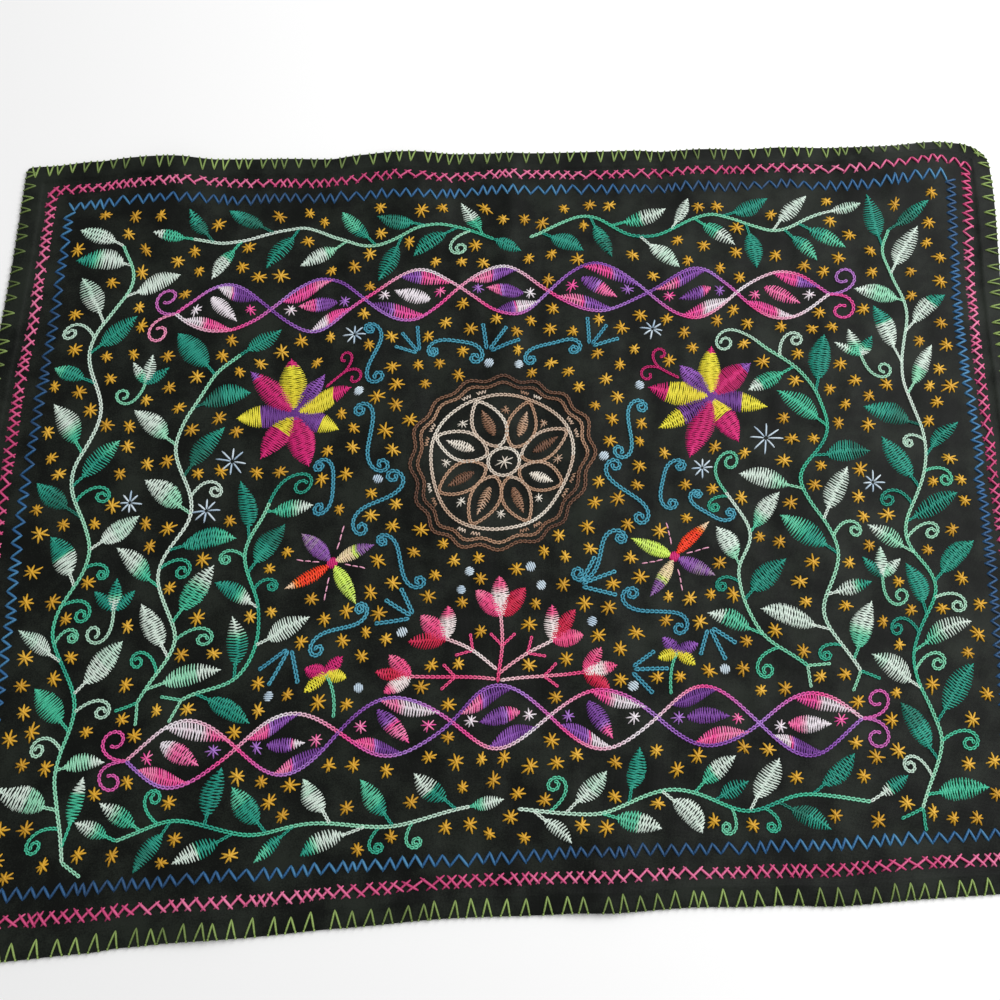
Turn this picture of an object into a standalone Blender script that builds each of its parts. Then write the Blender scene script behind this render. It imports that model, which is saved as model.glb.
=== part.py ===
"""An embroidered dark cotton cloth with a turned hem, lying on a flat surface.

Metres, +Z up. X runs along the cloth's long side and Y from its near edge to its far edge.
The origin is on the surface that the cloth lies on, under the middle of its outline.
A place on the cut cloth is (a, b), measured from its middle before it was laid down.
"""
import math
from collections import namedtuple

import bmesh
import bpy
import numpy as np

# The hemmed cloth before it is laid down
CLOTH_WIDTH = 0.804
CLOTH_DEPTH = 0.604
PANEL_THICK = 0.0014
HEM_THICK = 0.0024
HEM_WIDTH = 0.014
HEM_STEP = 0.003
EDGE_ROUND = 0.0008

# The mesh: rows across the hem, measured in from the edge, even cells inside them, and a row
# on each side of the middle crease
HEM_ROWS = (0.0, 0.004, 0.009, HEM_WIDTH, HEM_WIDTH + HEM_STEP)
CELLS_ACROSS = 52
CELLS_DEEP = 38
CREASE_ROWS = (-0.009, 0.009)

COTTON_COLOUR = (0.012, 0.013, 0.013, 1.0)
COTTON_ROUGHNESS = 0.9

# How far each corner of the cut cloth is moved when it is laid down, and its rounding
Corner = namedtuple("Corner", "side_a side_b shift_x shift_y radius")
CORNERS = (
    Corner(-1, -1, -0.0138, -0.0107, 0.006),
    Corner(1, -1, -0.0188, 0.0163, 0.006),
    Corner(-1, 1, 0.0152, 0.0005, 0.005),
    Corner(1, 1, 0.0142, 0.0025, 0.022),
)

# How far each edge strays from the straight line between its corners, towards +Y or +X
Stray = namedtuple("Stray", "along offset")
FAR_EDGE = (
    Stray(-0.402, 0.0022),
    Stray(-0.385, 0.0028),
    Stray(-0.345, 0.0063),
    Stray(-0.320, 0.0086),
    Stray(-0.284, 0.0072),
    Stray(-0.245, 0.0051),
    Stray(-0.190, 0.0042),
    Stray(-0.150, 0.0026),
    Stray(-0.125, 0.0057),
    Stray(-0.085, 0.0059),
    Stray(-0.035, 0.0040),
    Stray(0.045, 0.0029),
    Stray(0.105, 0.0031),
    Stray(0.128, 0.0011),
    Stray(0.190, 0.0010),
    Stray(0.228, 0.0025),
    Stray(0.270, 0.0006),
    Stray(0.315, 0.0010),
    Stray(0.357, 0.0038),
    Stray(0.402, -0.0010),
)
NEAR_EDGE = (
    Stray(-0.402, 0.0),
    Stray(-0.330, 0.0015),
    Stray(-0.275, 0.0031),
    Stray(-0.250, 0.0050),
    Stray(-0.215, 0.0060),
    Stray(-0.175, 0.0059),
    Stray(-0.100, 0.0079),
    Stray(-0.035, 0.0094),
    Stray(0.050, 0.0072),
    Stray(0.085, 0.0054),
    Stray(0.130, 0.0058),
    Stray(0.190, 0.0032),
    Stray(0.240, 0.0),
    Stray(0.300, 0.0009),
    Stray(0.402, 0.0006),
)
LEFT_EDGE = (
    Stray(-0.302, 0.0),
    Stray(-0.150, 0.0020),
    Stray(0.060, -0.0020),
    Stray(0.220, 0.0012),
    Stray(0.302, 0.0006),
)
RIGHT_EDGE = (
    Stray(-0.302, 0.0),
    Stray(-0.210, -0.0012),
    Stray(-0.120, 0.0010),
    Stray(0.000, -0.0021),
    Stray(0.160, -0.0027),
    Stray(0.255, 0.0003),
    Stray(0.302, -0.0009),
)

# Soft ridges where the cloth stands off the surface, each along a line on the cut cloth
Fold = namedtuple("Fold", "from_a from_b to_a to_b height reach")
FOLDS = (
    Fold(-0.284, 0.302, -0.272, 0.235, 0.0050, 0.046),
    Fold(-0.088, 0.302, -0.078, 0.250, 0.0040, 0.044),
    Fold(0.162, 0.302, 0.158, 0.268, 0.0026, 0.038),
    Fold(0.000, 0.295, 0.002, 0.060, 0.0016, 0.020),
    Fold(-0.105, 0.120, -0.035, -0.030, 0.0022, 0.034),
    Fold(0.065, 0.080, 0.075, -0.120, 0.0017, 0.036),
    Fold(-0.300, -0.030, -0.240, -0.170, 0.0017, 0.038),
    Fold(0.270, 0.110, 0.240, -0.060, 0.0019, 0.038),
    Fold(-0.200, -0.302, -0.198, -0.262, 0.0019, 0.042),
    Fold(0.072, -0.302, 0.076, -0.252, 0.0022, 0.042),
)

# Near its right end the far edge curls down from a ridge that stands off the surface: its
# greatest height, the distances in from the edge of its top and its foot, and how far it draws
# the cloth towards the edge
CURL_FROM = 0.255
CURL_FULL = 0.325
CURL_HEIGHT = 0.0088
CURL_RIDGE = 0.026
CURL_FOOT = 0.075
CURL_DRAW = 0.0030
CURL_DRAW_FADE = 0.150


def ease(low, high, value):
    """0 below low, 1 above high, and a smooth step between."""
    t = np.clip((value - low) / (high - low), 0.0, 1.0)
    return t * t * (3 - 2 * t)


def stray(table, along):
    """The offset of an edge at a place along it, eased from each row of its table to the next."""
    value = np.zeros_like(along) + table[0].offset
    for row, after in zip(table, table[1:]):
        value = value + (after.offset - row.offset) * ease(row.along, after.along, along)
    return value


def rounded(a, b):
    """Draws the corners of the cut cloth in to their roundings."""
    a, b = np.array(a, float), np.array(b, float)
    for corner in CORNERS:
        inner_a = CLOTH_WIDTH / 2 - corner.radius
        inner_b = CLOTH_DEPTH / 2 - corner.radius
        p = (corner.side_a * a - inner_a) / corner.radius
        q = (corner.side_b * b - inner_b) / corner.radius
        inside = (p > 0) & (q > 0)
        p, q = p[inside], q[inside]
        a[inside] = corner.side_a * (inner_a + corner.radius * p * np.sqrt(1 - q * q / 2))
        b[inside] = corner.side_b * (inner_b + corner.radius * q * np.sqrt(1 - p * p / 2))
    return a, b


def curl_share(a):
    """How much of the curl there is at a place along the far edge, from 0 to 1."""
    return ease(CURL_FROM, CURL_FULL, a) * ease(0.0, CURL_RIDGE * 2, CLOTH_WIDTH / 2 - a)


def lift(a, b):
    """The height of the cloth's underside above the surface."""
    height = np.zeros_like(a)
    for fold in FOLDS:
        run_a = fold.to_a - fold.from_a
        run_b = fold.to_b - fold.from_b
        share = ((a - fold.from_a) * run_a + (b - fold.from_b) * run_b) / (run_a**2 + run_b**2)
        share = np.clip(share, 0.0, 1.0)
        away = np.hypot(a - fold.from_a - share * run_a, b - fold.from_b - share * run_b)
        height = height + fold.height * (1 - np.clip(away / fold.reach, 0.0, 1.0) ** 2) ** 2
    from_edge = CLOTH_DEPTH / 2 - b
    rise = np.sin(np.clip(from_edge / CURL_RIDGE, 0.0, 1.0) * math.pi / 2)
    fall = 1 - ease(CURL_RIDGE, CURL_FOOT, from_edge)
    return height + CURL_HEIGHT * rise * fall * curl_share(a)


def laid(a, b):
    """The place (x, y) on the surface of a place (a, b) on the cut cloth."""
    share_a = a / CLOTH_WIDTH + 0.5
    share_b = b / CLOTH_DEPTH + 0.5
    x, y = rounded(a, b)
    for corner in CORNERS:
        weight_a = share_a if corner.side_a > 0 else 1 - share_a
        weight_b = share_b if corner.side_b > 0 else 1 - share_b
        x = x + corner.shift_x * weight_a * weight_b
        y = y + corner.shift_y * weight_a * weight_b
    x = x + stray(LEFT_EDGE, b) * (1 - share_a) ** 2 + stray(RIGHT_EDGE, b) * share_a**2
    y = y + stray(NEAR_EDGE, a) * (1 - share_b) ** 2 + stray(FAR_EDGE, a) * share_b**2
    from_edge = CLOTH_DEPTH / 2 - b
    drawn = ease(0.0, CURL_RIDGE, from_edge) * (1 - ease(CURL_RIDGE, CURL_DRAW_FADE, from_edge))
    return x, y + CURL_DRAW * drawn * curl_share(a)


def thickness(a, b):
    """The cloth's thickness: its hem is folded double all round."""
    from_edge = np.minimum(CLOTH_WIDTH / 2 - abs(a), CLOTH_DEPTH / 2 - abs(b))
    return HEM_THICK - (HEM_THICK - PANEL_THICK) * ease(HEM_WIDTH, HEM_WIDTH + HEM_STEP, from_edge)


def rows(length, cells, extra=()):
    """The places of the mesh's rows along one side of the cut cloth."""
    half = length / 2
    inner = half - HEM_ROWS[-1]
    hem = [half - row for row in HEM_ROWS[:-1]]
    return np.array(sorted({*hem, *(-h for h in hem), *extra, *np.linspace(-inner, inner, cells + 1)}))


def sheet_mesh(name):
    """One closed sheet: a grid for the underside, a middle row round the edge, a grid on top."""
    rows_a = rows(CLOTH_WIDTH, CELLS_ACROSS, CREASE_ROWS)
    rows_b = rows(CLOTH_DEPTH, CELLS_DEEP, (CLOTH_DEPTH / 2 - CURL_RIDGE,))
    cells_a, cells_b = len(rows_a) - 1, len(rows_b) - 1
    mesh_in_progress = bmesh.new()
    bmesh.ops.create_grid(mesh_in_progress, x_segments=cells_a, y_segments=cells_b, size=1.0)
    grown = bmesh.ops.extrude_face_region(mesh_in_progress, geom=mesh_in_progress.faces[:])["geom"]
    top = [item for item in grown if isinstance(item, bmesh.types.BMVert)]
    bmesh.ops.translate(mesh_in_progress, verts=top, vec=(0.0, 0.0, 2.0))
    upright = [edge for edge in mesh_in_progress.edges if edge.verts[0].co.z != edge.verts[1].co.z]
    bmesh.ops.subdivide_edges(mesh_in_progress, edges=upright, cuts=1)
    verts = mesh_in_progress.verts[:]
    grid = np.array([vert.co[:] for vert in verts])
    a = rows_a[np.rint((grid[:, 0] + 1) / 2 * cells_a).astype(int)]
    b = rows_b[np.rint((grid[:, 1] + 1) / 2 * cells_b).astype(int)]
    level = np.rint(grid[:, 2])
    middle = level == 1
    for row, half in ((a, CLOTH_WIDTH / 2), (b, CLOTH_DEPTH / 2)):
        reach = half - EDGE_ROUND
        row[~middle] = np.clip(row[~middle], -reach, reach)
    x, y = laid(a, b)
    z = lift(a, b) + thickness(a, b) * level / 2
    for vert, place in zip(verts, np.stack([x, y, z], axis=1)):
        vert.co = place
    bmesh.ops.recalc_face_normals(mesh_in_progress, faces=mesh_in_progress.faces[:])
    mesh = bpy.data.meshes.new(name)
    mesh_in_progress.to_mesh(mesh)
    mesh_in_progress.free()
    return mesh


def cotton_material():
    """Matt, near-black cotton."""
    material = bpy.data.materials.new("dark_cotton")
    material.use_nodes = True
    shader = material.node_tree.nodes["Principled BSDF"]
    shader.inputs["Base Color"].default_value = COTTON_COLOUR
    shader.inputs["Roughness"].default_value = COTTON_ROUGHNESS
    shader.inputs["Metallic"].default_value = 0.0
    return material


def main():
    for old in list(bpy.data.objects):
        bpy.data.objects.remove(old)
    mesh = sheet_mesh("cloth")
    mesh.shade_smooth()
    mesh.materials.append(cotton_material())
    bpy.context.scene.collection.objects.link(bpy.data.objects.new("cloth", mesh))


main()
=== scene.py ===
"""The looks of an embroidered dark cotton cloth: its woven sheet and every stitch on it.

Metres, +Z up. A place on the cut cloth is (a, b), measured from its middle before it was laid down,
with a along its long side. The sheet and the stitches are laid out in those places, and then
laid on the floor together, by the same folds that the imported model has.
"""
import math
from collections import namedtuple

import bmesh
import bpy
import numpy as np
from mathutils import Matrix


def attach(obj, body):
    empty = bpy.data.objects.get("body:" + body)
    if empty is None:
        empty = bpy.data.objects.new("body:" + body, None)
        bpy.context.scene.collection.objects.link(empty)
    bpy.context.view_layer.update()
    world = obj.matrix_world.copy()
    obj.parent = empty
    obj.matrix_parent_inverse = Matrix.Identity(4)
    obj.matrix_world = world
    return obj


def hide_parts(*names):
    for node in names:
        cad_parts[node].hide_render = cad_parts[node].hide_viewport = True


bl_info = {
    "name": "Embroidered cloth",
    "version": (1, 0, 0),
    "blender": (4, 5, 0),
    "location": "View3D > Sidebar > Embroidery",
    "description": "Lays out and stitches a dark cotton cloth with a bordered field of flowers",
    "category": "Add Mesh",
}

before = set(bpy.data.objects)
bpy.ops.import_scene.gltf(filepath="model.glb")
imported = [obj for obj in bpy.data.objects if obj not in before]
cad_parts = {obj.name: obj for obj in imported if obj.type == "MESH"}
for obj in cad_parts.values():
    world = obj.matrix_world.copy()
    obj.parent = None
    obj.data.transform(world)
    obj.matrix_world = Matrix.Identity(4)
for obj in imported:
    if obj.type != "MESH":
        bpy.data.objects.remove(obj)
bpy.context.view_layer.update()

SEED = 20

# The hemmed cloth before it is laid down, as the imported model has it
CLOTH_WIDTH = 0.804
CLOTH_DEPTH = 0.604
HALF_A = CLOTH_WIDTH / 2
HALF_B = CLOTH_DEPTH / 2
HEM_WIDTH = 0.014
HEM_STEP = 0.003

# How far each corner of the cut cloth is moved when it is laid down, and its rounding
Corner = namedtuple("Corner", "side_a side_b shift_x shift_y radius")
CORNERS = (
    Corner(-1, -1, -0.0138, -0.0107, 0.006),
    Corner(1, -1, -0.0188, 0.0163, 0.006),
    Corner(-1, 1, 0.0152, 0.0005, 0.005),
    Corner(1, 1, 0.0142, 0.0025, 0.022),
)

# How far each edge strays from the straight line between its corners, towards +Y or +X: places
# along it, each with the offset there
FAR_EDGE = (
    (-0.402, 0.0022), (-0.385, 0.0028), (-0.345, 0.0063), (-0.320, 0.0086), (-0.284, 0.0072),
    (-0.245, 0.0051), (-0.190, 0.0042), (-0.150, 0.0026), (-0.125, 0.0057), (-0.085, 0.0059),
    (-0.035, 0.0040), (0.045, 0.0029), (0.105, 0.0031), (0.128, 0.0011), (0.190, 0.0010),
    (0.228, 0.0025), (0.270, 0.0006), (0.315, 0.0010), (0.357, 0.0038), (0.402, -0.0010),
)
NEAR_EDGE = (
    (-0.402, 0.0), (-0.330, 0.0015), (-0.275, 0.0031), (-0.250, 0.0050), (-0.215, 0.0060),
    (-0.175, 0.0059), (-0.100, 0.0079), (-0.035, 0.0094), (0.050, 0.0072), (0.085, 0.0054),
    (0.130, 0.0058), (0.190, 0.0032), (0.240, 0.0), (0.300, 0.0009), (0.402, 0.0006),
)
LEFT_EDGE = (
    (-0.302, 0.0), (-0.150, 0.0020), (0.060, -0.0020), (0.220, 0.0012), (0.302, 0.0006),
)
RIGHT_EDGE = (
    (-0.302, 0.0), (-0.210, -0.0012), (-0.120, 0.0010), (0.000, -0.0021), (0.160, -0.0027),
    (0.255, 0.0003), (0.302, -0.0009),
)

# Soft ridges where the cloth stands off the surface, each along a line on the cut cloth
Fold = namedtuple("Fold", "from_a from_b to_a to_b height reach")
FOLDS = (
    Fold(-0.284, 0.302, -0.272, 0.235, 0.0050, 0.046),
    Fold(-0.088, 0.302, -0.078, 0.250, 0.0040, 0.044),
    Fold(0.162, 0.302, 0.158, 0.268, 0.0026, 0.038),
    Fold(0.000, 0.295, 0.002, 0.060, 0.0016, 0.020),
    Fold(-0.105, 0.120, -0.035, -0.030, 0.0022, 0.034),
    Fold(0.065, 0.080, 0.075, -0.120, 0.0017, 0.036),
    Fold(-0.300, -0.030, -0.240, -0.170, 0.0017, 0.038),
    Fold(0.270, 0.110, 0.240, -0.060, 0.0019, 0.038),
    Fold(-0.200, -0.302, -0.198, -0.262, 0.0019, 0.042),
    Fold(0.072, -0.302, 0.076, -0.252, 0.0022, 0.042),
)

# Near its right end the far edge curls down from a ridge that stands off the surface: its
# greatest height, the distances in from the edge of its top and its foot, and how far it draws
# the cloth towards the edge
CURL_FROM = 0.255
CURL_FULL = 0.325
CURL_HEIGHT = 0.0088
CURL_RIDGE = 0.026
CURL_FOOT = 0.075
CURL_DRAW = 0.0030
CURL_DRAW_FADE = 0.150

# Small creases and slack that only the finished surface has, above 0 for a ridge
CREASES = (
    Fold(-0.150, 0.300, -0.128, 0.200, 0.0006, 0.010),
    Fold(0.002, 0.300, 0.004, 0.100, 0.0003, 0.006),
    Fold(-0.400, 0.005, -0.300, -0.004, -0.0005, 0.008),
    Fold(0.300, -0.010, 0.400, -0.002, -0.0005, 0.008),
    Fold(-0.240, -0.300, -0.225, -0.225, 0.0005, 0.011),
    Fold(0.205, 0.300, 0.190, 0.236, 0.0006, 0.012),
    Fold(0.130, -0.300, 0.112, -0.235, 0.0005, 0.012),
    Fold(-0.060, -0.300, -0.046, -0.250, 0.0005, 0.012),
    Fold(0.330, 0.215, 0.398, 0.190, 0.0005, 0.012),
    Fold(-0.330, 0.150, -0.398, 0.120, 0.0004, 0.012),
)
RIPPLES = 14
RIPPLE_HEIGHT = 0.00013
RIPPLE_SHORTEST = 0.014
RIPPLE_LONGEST = 0.060
LINE_DENT = 0.00025
LINE_DENT_REACH = 0.004
# They fade out between these distances from the edge
RELIEF_FADE = (0.001, 0.012)

# The sides of the cloth, each with its half length, the direction in which it runs, and how a
# distance along and in becomes a place
Side = namedtuple("Side", "name half way place")
SIDES = (
    Side("far", HALF_A, 1, lambda along, deep: np.stack([along, HALF_B - deep], axis=-1)),
    Side("near", HALF_A, -1, lambda along, deep: np.stack([-along, deep - HALF_B], axis=-1)),
    Side("left", HALF_B, 1, lambda along, deep: np.stack([deep - HALF_A, along], axis=-1)),
    Side("right", HALF_B, -1, lambda along, deep: np.stack([HALF_A - deep, -along], axis=-1)),
)

# How deep each stitched line lies, in millimetres in from its edge, every 40 mm towards +X or +Y
DEPTH_STEP = 0.040
ROSE_DEPTHS = {
    "far": (
        23.6, 23.0, 20.5, 22.5, 22.7, 22.5, 20.6, 22.6, 20.0,
        20.1, 21.8, 22.1, 20.0, 19.7, 19.3, 21.0, 25.4, 24.1,
    ),
    "near": (
        24.8, 24.5, 23.8, 23.7, 23.9, 23.2, 23.8, 23.5, 24.1,
        24.4, 23.8, 23.9, 22.6, 22.7, 23.1, 23.9, 23.8, 22.8,
    ),
    "left": (24.6, 25.0, 24.2, 24.8, 25.3, 24.6, 24.2, 25.0, 24.4, 23.6, 25.4, 23.7, 24.0),
    "right": (23.6, 24.4, 25.0, 24.2, 23.6, 24.0, 24.6, 24.8, 25.4, 25.6, 24.9, 24.2, 22.2),
}
NAVY_DEPTHS = {
    "far": (
        40.2, 38.0, 36.8, 38.1, 36.4, 37.0, 37.8, 39.4, 34.6,
        35.1, 35.4, 37.0, 34.2, 36.2, 34.8, 36.8, 41.0, 38.2,
    ),
    "near": (
        41.5, 41.1, 40.7, 39.6, 41.0, 40.3, 39.9, 39.1, 38.1,
        39.0, 40.5, 40.3, 38.5, 39.3, 39.9, 40.8, 39.9, 39.4,
    ),
    "left": (41.2, 41.8, 40.6, 41.0, 41.6, 40.4, 39.4, 40.6, 41.5, 41.0, 41.4, 39.8, 40.3),
    "right": (38.0, 37.2, 36.8, 37.6, 36.4, 34.6, 35.2, 33.8, 36.6, 37.8, 36.8, 36.0, 36.0),
}
# How the stitches of a line bunch up and spread: waves, each with its length and its reach, that
# fade out towards the ends, and how far each stitch strays, as a share of the pitch
PITCH_WAVES = ((0.170, 0.0035), (0.047, 0.0012), (0.031, 0.0008))
PITCH_FADE = 0.030
PITCH_STRAY = 0.07

# How far the worked lines stray from where they were drawn, as slow waves over the cloth, which
# begin inside the border, between these distances from the edge
WANDER_SEED = SEED + 40
WANDER_START = (0.046, 0.060)
WANDERS = 5
WANDER_REACH = 0.00095
WANDER_SHORTEST = 0.040
WANDER_LONGEST = 0.150

# The field inside the lines, and the raster that notes where stitches already lie
FIELD_LEFT = 0.3565
FIELD_RIGHT = 0.3605
FIELD_B = 0.2575
TAKEN_CELL = 0.0012
ROOM_TRIES = 60

# The camera that took the picture, fitted to the stitched border
CAMERA_PLACE = (-0.01211, -0.24334, 0.79369)
CAMERA_TILT = math.radians(17.331)
CAMERA_TURN = math.radians(-2.267)
CAMERA_ROLL = math.radians(0.548)


def ease(low, high, value):
    """0 below low, 1 above high, and a smooth step between."""
    t = np.clip((value - low) / (high - low), 0.0, 1.0)
    return t * t * (3 - 2 * t)


def stray(table, along):
    """The offset of an edge at a place along it, eased from each row of its table to the next."""
    value = np.zeros_like(along) + table[0][1]
    for (at, offset), (to, after) in zip(table, table[1:]):
        value = value + (after - offset) * ease(at, to, along)
    return value


def rounded(a, b):
    """Draws the corners of the cut cloth in to their roundings."""
    a, b = np.array(a, float), np.array(b, float)
    for corner in CORNERS:
        inner_a = HALF_A - corner.radius
        inner_b = HALF_B - corner.radius
        p = (corner.side_a * a - inner_a) / corner.radius
        q = (corner.side_b * b - inner_b) / corner.radius
        inside = (p > 0) & (q > 0)
        p, q = p[inside], q[inside]
        a[inside] = corner.side_a * (inner_a + corner.radius * p * np.sqrt(1 - q * q / 2))
        b[inside] = corner.side_b * (inner_b + corner.radius * q * np.sqrt(1 - p * p / 2))
    return a, b


def curl_share(a):
    """How much of the curl there is at a place along the far edge, from 0 to 1."""
    return ease(CURL_FROM, CURL_FULL, a) * ease(0.0, CURL_RIDGE * 2, HALF_A - a)


def ridges(table, a, b):
    """The height of a table of soft ridges."""
    height = np.zeros_like(a)
    for fold in table:
        run_a = fold.to_a - fold.from_a
        run_b = fold.to_b - fold.from_b
        share = ((a - fold.from_a) * run_a + (b - fold.from_b) * run_b) / (run_a**2 + run_b**2)
        share = np.clip(share, 0.0, 1.0)
        away = np.hypot(a - fold.from_a - share * run_a, b - fold.from_b - share * run_b)
        height = height + fold.height * (1 - np.clip(away / fold.reach, 0.0, 1.0) ** 2) ** 2
    return height


def lift(a, b):
    """The height of the cloth's underside above the surface."""
    from_edge = HALF_B - b
    rise = np.sin(np.clip(from_edge / CURL_RIDGE, 0.0, 1.0) * math.pi / 2)
    fall = 1 - ease(CURL_RIDGE, CURL_FOOT, from_edge)
    return ridges(FOLDS, a, b) + CURL_HEIGHT * rise * fall * curl_share(a)


def laid(a, b):
    """The place (x, y) on the surface of a place (a, b) on the cut cloth."""
    share_a = a / CLOTH_WIDTH + 0.5
    share_b = b / CLOTH_DEPTH + 0.5
    x, y = rounded(a, b)
    for corner in CORNERS:
        weight_a = share_a if corner.side_a > 0 else 1 - share_a
        weight_b = share_b if corner.side_b > 0 else 1 - share_b
        x = x + corner.shift_x * weight_a * weight_b
        y = y + corner.shift_y * weight_a * weight_b
    x = x + stray(LEFT_EDGE, b) * (1 - share_a) ** 2 + stray(RIGHT_EDGE, b) * share_a**2
    y = y + stray(NEAR_EDGE, a) * (1 - share_b) ** 2 + stray(FAR_EDGE, a) * share_b**2
    from_edge = HALF_B - b
    drawn = ease(0.0, CURL_RIDGE, from_edge) * (1 - ease(CURL_RIDGE, CURL_DRAW_FADE, from_edge))
    return x, y + CURL_DRAW * drawn * curl_share(a)


def edge_distance(a, b):
    """How far a place is from the nearest edge of the cut cloth."""
    return np.minimum(HALF_A - abs(a), HALF_B - abs(b))


def thickness(a, b):
    """The cloth's thickness, greater at its hem, which is folded double all round."""
    looks = bpy.context.scene.cloth_looks
    away = edge_distance(a, b)
    step = ease(HEM_WIDTH, HEM_WIDTH + HEM_STEP, away)
    return looks.hem_thick - (looks.hem_thick - looks.panel_thick) * step


def line_depth(depths, side, where):
    """How deep a stitched line lies at places on its side, given as a or b."""
    rows = depths[side.name]
    return np.interp(where, (np.arange(len(rows)) - (len(rows) - 1) / 2) * DEPTH_STEP, rows) / 1000


def line_distance(depths, a, b):
    """How far a place is from a stitched line that runs round the cloth."""
    in_from = {"far": HALF_B - b, "near": HALF_B + b, "left": HALF_A + a, "right": HALF_A - a}
    where = {"far": a, "near": a, "left": b, "right": b}
    gaps = [in_from[side.name] - line_depth(depths, side, where[side.name]) for side in SIDES]
    return abs(np.minimum.reduce(gaps))


def chance_wave(a, b, shortest, longest, turn, rng):
    """A wave over the cloth, from -1 to 1, whose length, heading and phase are drawn by chance."""
    length = rng.uniform(shortest, longest)
    heading = rng.uniform(0, turn)
    phase = rng.uniform(0, 2 * math.pi)
    along = a * math.cos(heading) + b * math.sin(heading)
    return np.sin(2 * math.pi * along / length + phase)


def relief(a, b):
    """The fine relief of the worked cloth: creases, ripples between stitches, drawn-in lines."""
    rng = np.random.default_rng(SEED)
    height = ridges(CREASES, a, b)
    for _ in range(RIPPLES):
        height = height + RIPPLE_HEIGHT * chance_wave(a, b, RIPPLE_SHORTEST, RIPPLE_LONGEST, math.pi, rng)
    for depths in (ROSE_DEPTHS, NAVY_DEPTHS):
        height = height - LINE_DENT * np.exp(-((line_distance(depths, a, b) / LINE_DENT_REACH) ** 2))
    return height * ease(*RELIEF_FADE, edge_distance(a, b))


def surface(a, b):
    """The height of the top of the cloth."""
    return lift(a, b) + thickness(a, b) + relief(a, b)


def wandered(places):
    """The places that stitches have in the end, a little off the lines that they were to follow."""
    rng = np.random.default_rng(WANDER_SEED)
    a, b = places[..., 0], places[..., 1]
    share = ease(*WANDER_START, edge_distance(a, b))
    moved = places.copy()
    for axis in (0, 1):
        for _ in range(WANDERS):
            wave = chance_wave(a, b, WANDER_SHORTEST, WANDER_LONGEST, 2 * math.pi, rng)
            moved[..., axis] += share * WANDER_REACH * wave
    return moved


def linear(hex_colour):
    """A colour written as six hexadecimal digits, as the linear values that shaders take."""
    shares = [int(hex_colour[i : i + 2], 16) / 255 for i in (0, 2, 4)]
    return tuple(s / 12.92 if s <= 0.04045 else ((s + 0.055) / 1.055) ** 2.4 for s in shares) + (1.0,)


def colour(name, description, hex_colour):
    """A colour property."""
    return bpy.props.FloatVectorProperty(
        name=name, description=description, subtype="COLOR", size=4, min=0.0, max=1.0,
        default=linear(hex_colour),
    )


def distance(name, description, default):
    """A length property, in metres."""
    return bpy.props.FloatProperty(
        name=name, description=description, default=default, min=0.0, subtype="DISTANCE",
        unit="LENGTH", precision=5,
    )


# What each thread is used for, and the dyes along it in order
THREADS = {
    # Lime is a two-tone thread, and its dark stop is also painted shade and its light stop painted light
    "lime": ("Edge stitches", {"dark": "4f6228", "light": "8ea858"}),
    "rose": ("Herringbone line", {"dark": "a81c5a", "mid": "d2487e", "light": "ec82aa"}),
    "navy": ("Zigzag line", {"dark": "163e64", "mid": "1e5c8e", "light": "4a8eb4"}),
    "orange": ("Small stars", {"dark": "b07e0c", "mid": "d4a01a", "light": "e4b43a"}),
    "leaf": ("Vines and leaves", {
        "deep": "066a58", "teal": "0c9480", "mint": "40c09a", "pale": "96dcb8", "white": "dceadf",
    }),
    "violet": ("Ribbons and star flowers", {
        "deep": "662c88", "mid": "9454b8", "pale": "b07cd0", "pink": "f4489c", "white": "ece4ea",
    }),
    "magenta": ("Star flowers", {"deep": "b00a5e", "mid": "dc1478"}),
    "yellow": ("Star flowers", {"deep": "d8b818", "mid": "f0e83a"}),
    "flame": ("Small flowers", {
        "red": "ff3a10", "orange": "ff8420", "cream": "f2d8b4", "lime": "d8f85a", "violet": "8a4ea8",
    }),
    "sky": ("Scrolls", {"mid": "26809e", "light": "4ea6ba"}),
    "ice": ("Large pale stars", {"mid": "a6c0d6", "light": "d8e6ee"}),
    "brown": ("Rosette", {"dark": "5c3a28", "mid": "8a6248", "tan": "c09a7c", "cream": "ece4d6"}),
    "crimson": ("Tulips", {"deep": "d00c40", "mid": "f0508c", "white": "f4e8e6"}),
}


class ClothLooks(bpy.types.PropertyGroup):
    """The woven sheet."""

    panel_thick: distance("Panel", "Thickness of the single cloth", 0.0012)
    hem_thick: distance("Hem", "Thickness of the folded hem", 0.0024)
    edge_round: distance("Edge", "Rounding of the folded edge", 0.0013)
    weave_pitch: distance("Weave pitch", "Distance between the yarns of the plain weave", 0.0009)
    weave_depth: distance("Weave depth", "Depth of the weave's relief", 0.00008)
    cotton_dark: colour("Cotton", "Colour of the cloth", "070a07")
    cotton_worn: colour("Worn cotton", "Colour of the cloth where it is worn or dusty", "20251f")


class StitchSizes(bpy.types.PropertyGroup):
    """The threads and how they are worked."""

    satin_width: distance("Satin thread", "Width of a satin stitch's thread", 0.00130)
    satin_pitch: distance("Satin pitch", "Distance between satin stitches", 0.00186)
    satin_rise: distance("Satin rise", "Height of a satin stitch over the cloth", 0.00042)
    chain_thread: distance("Chain thread", "Width of the thread in a chain stitch", 0.00125)
    chain_width: distance("Chain width", "Width of a chain stitch", 0.0031)
    chain_step: distance("Chain step", "Length of a chain stitch", 0.0034)
    star_reach: distance("Star size", "Length of the threads of a small star", 0.0112)
    star_apart: distance("Star spacing", "Least distance between small stars", 0.0155)


class ThreadColours(bpy.types.PropertyGroup):
    """The colours along each variegated thread."""

    __annotations__ = {
        f"{thread}_{tone}": colour(f"{thread} {tone}".capitalize(), f"{use}: {tone} stretch", dye)
        for thread, (use, dyes) in THREADS.items()
        for tone, dye in dyes.items()
    }


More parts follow.
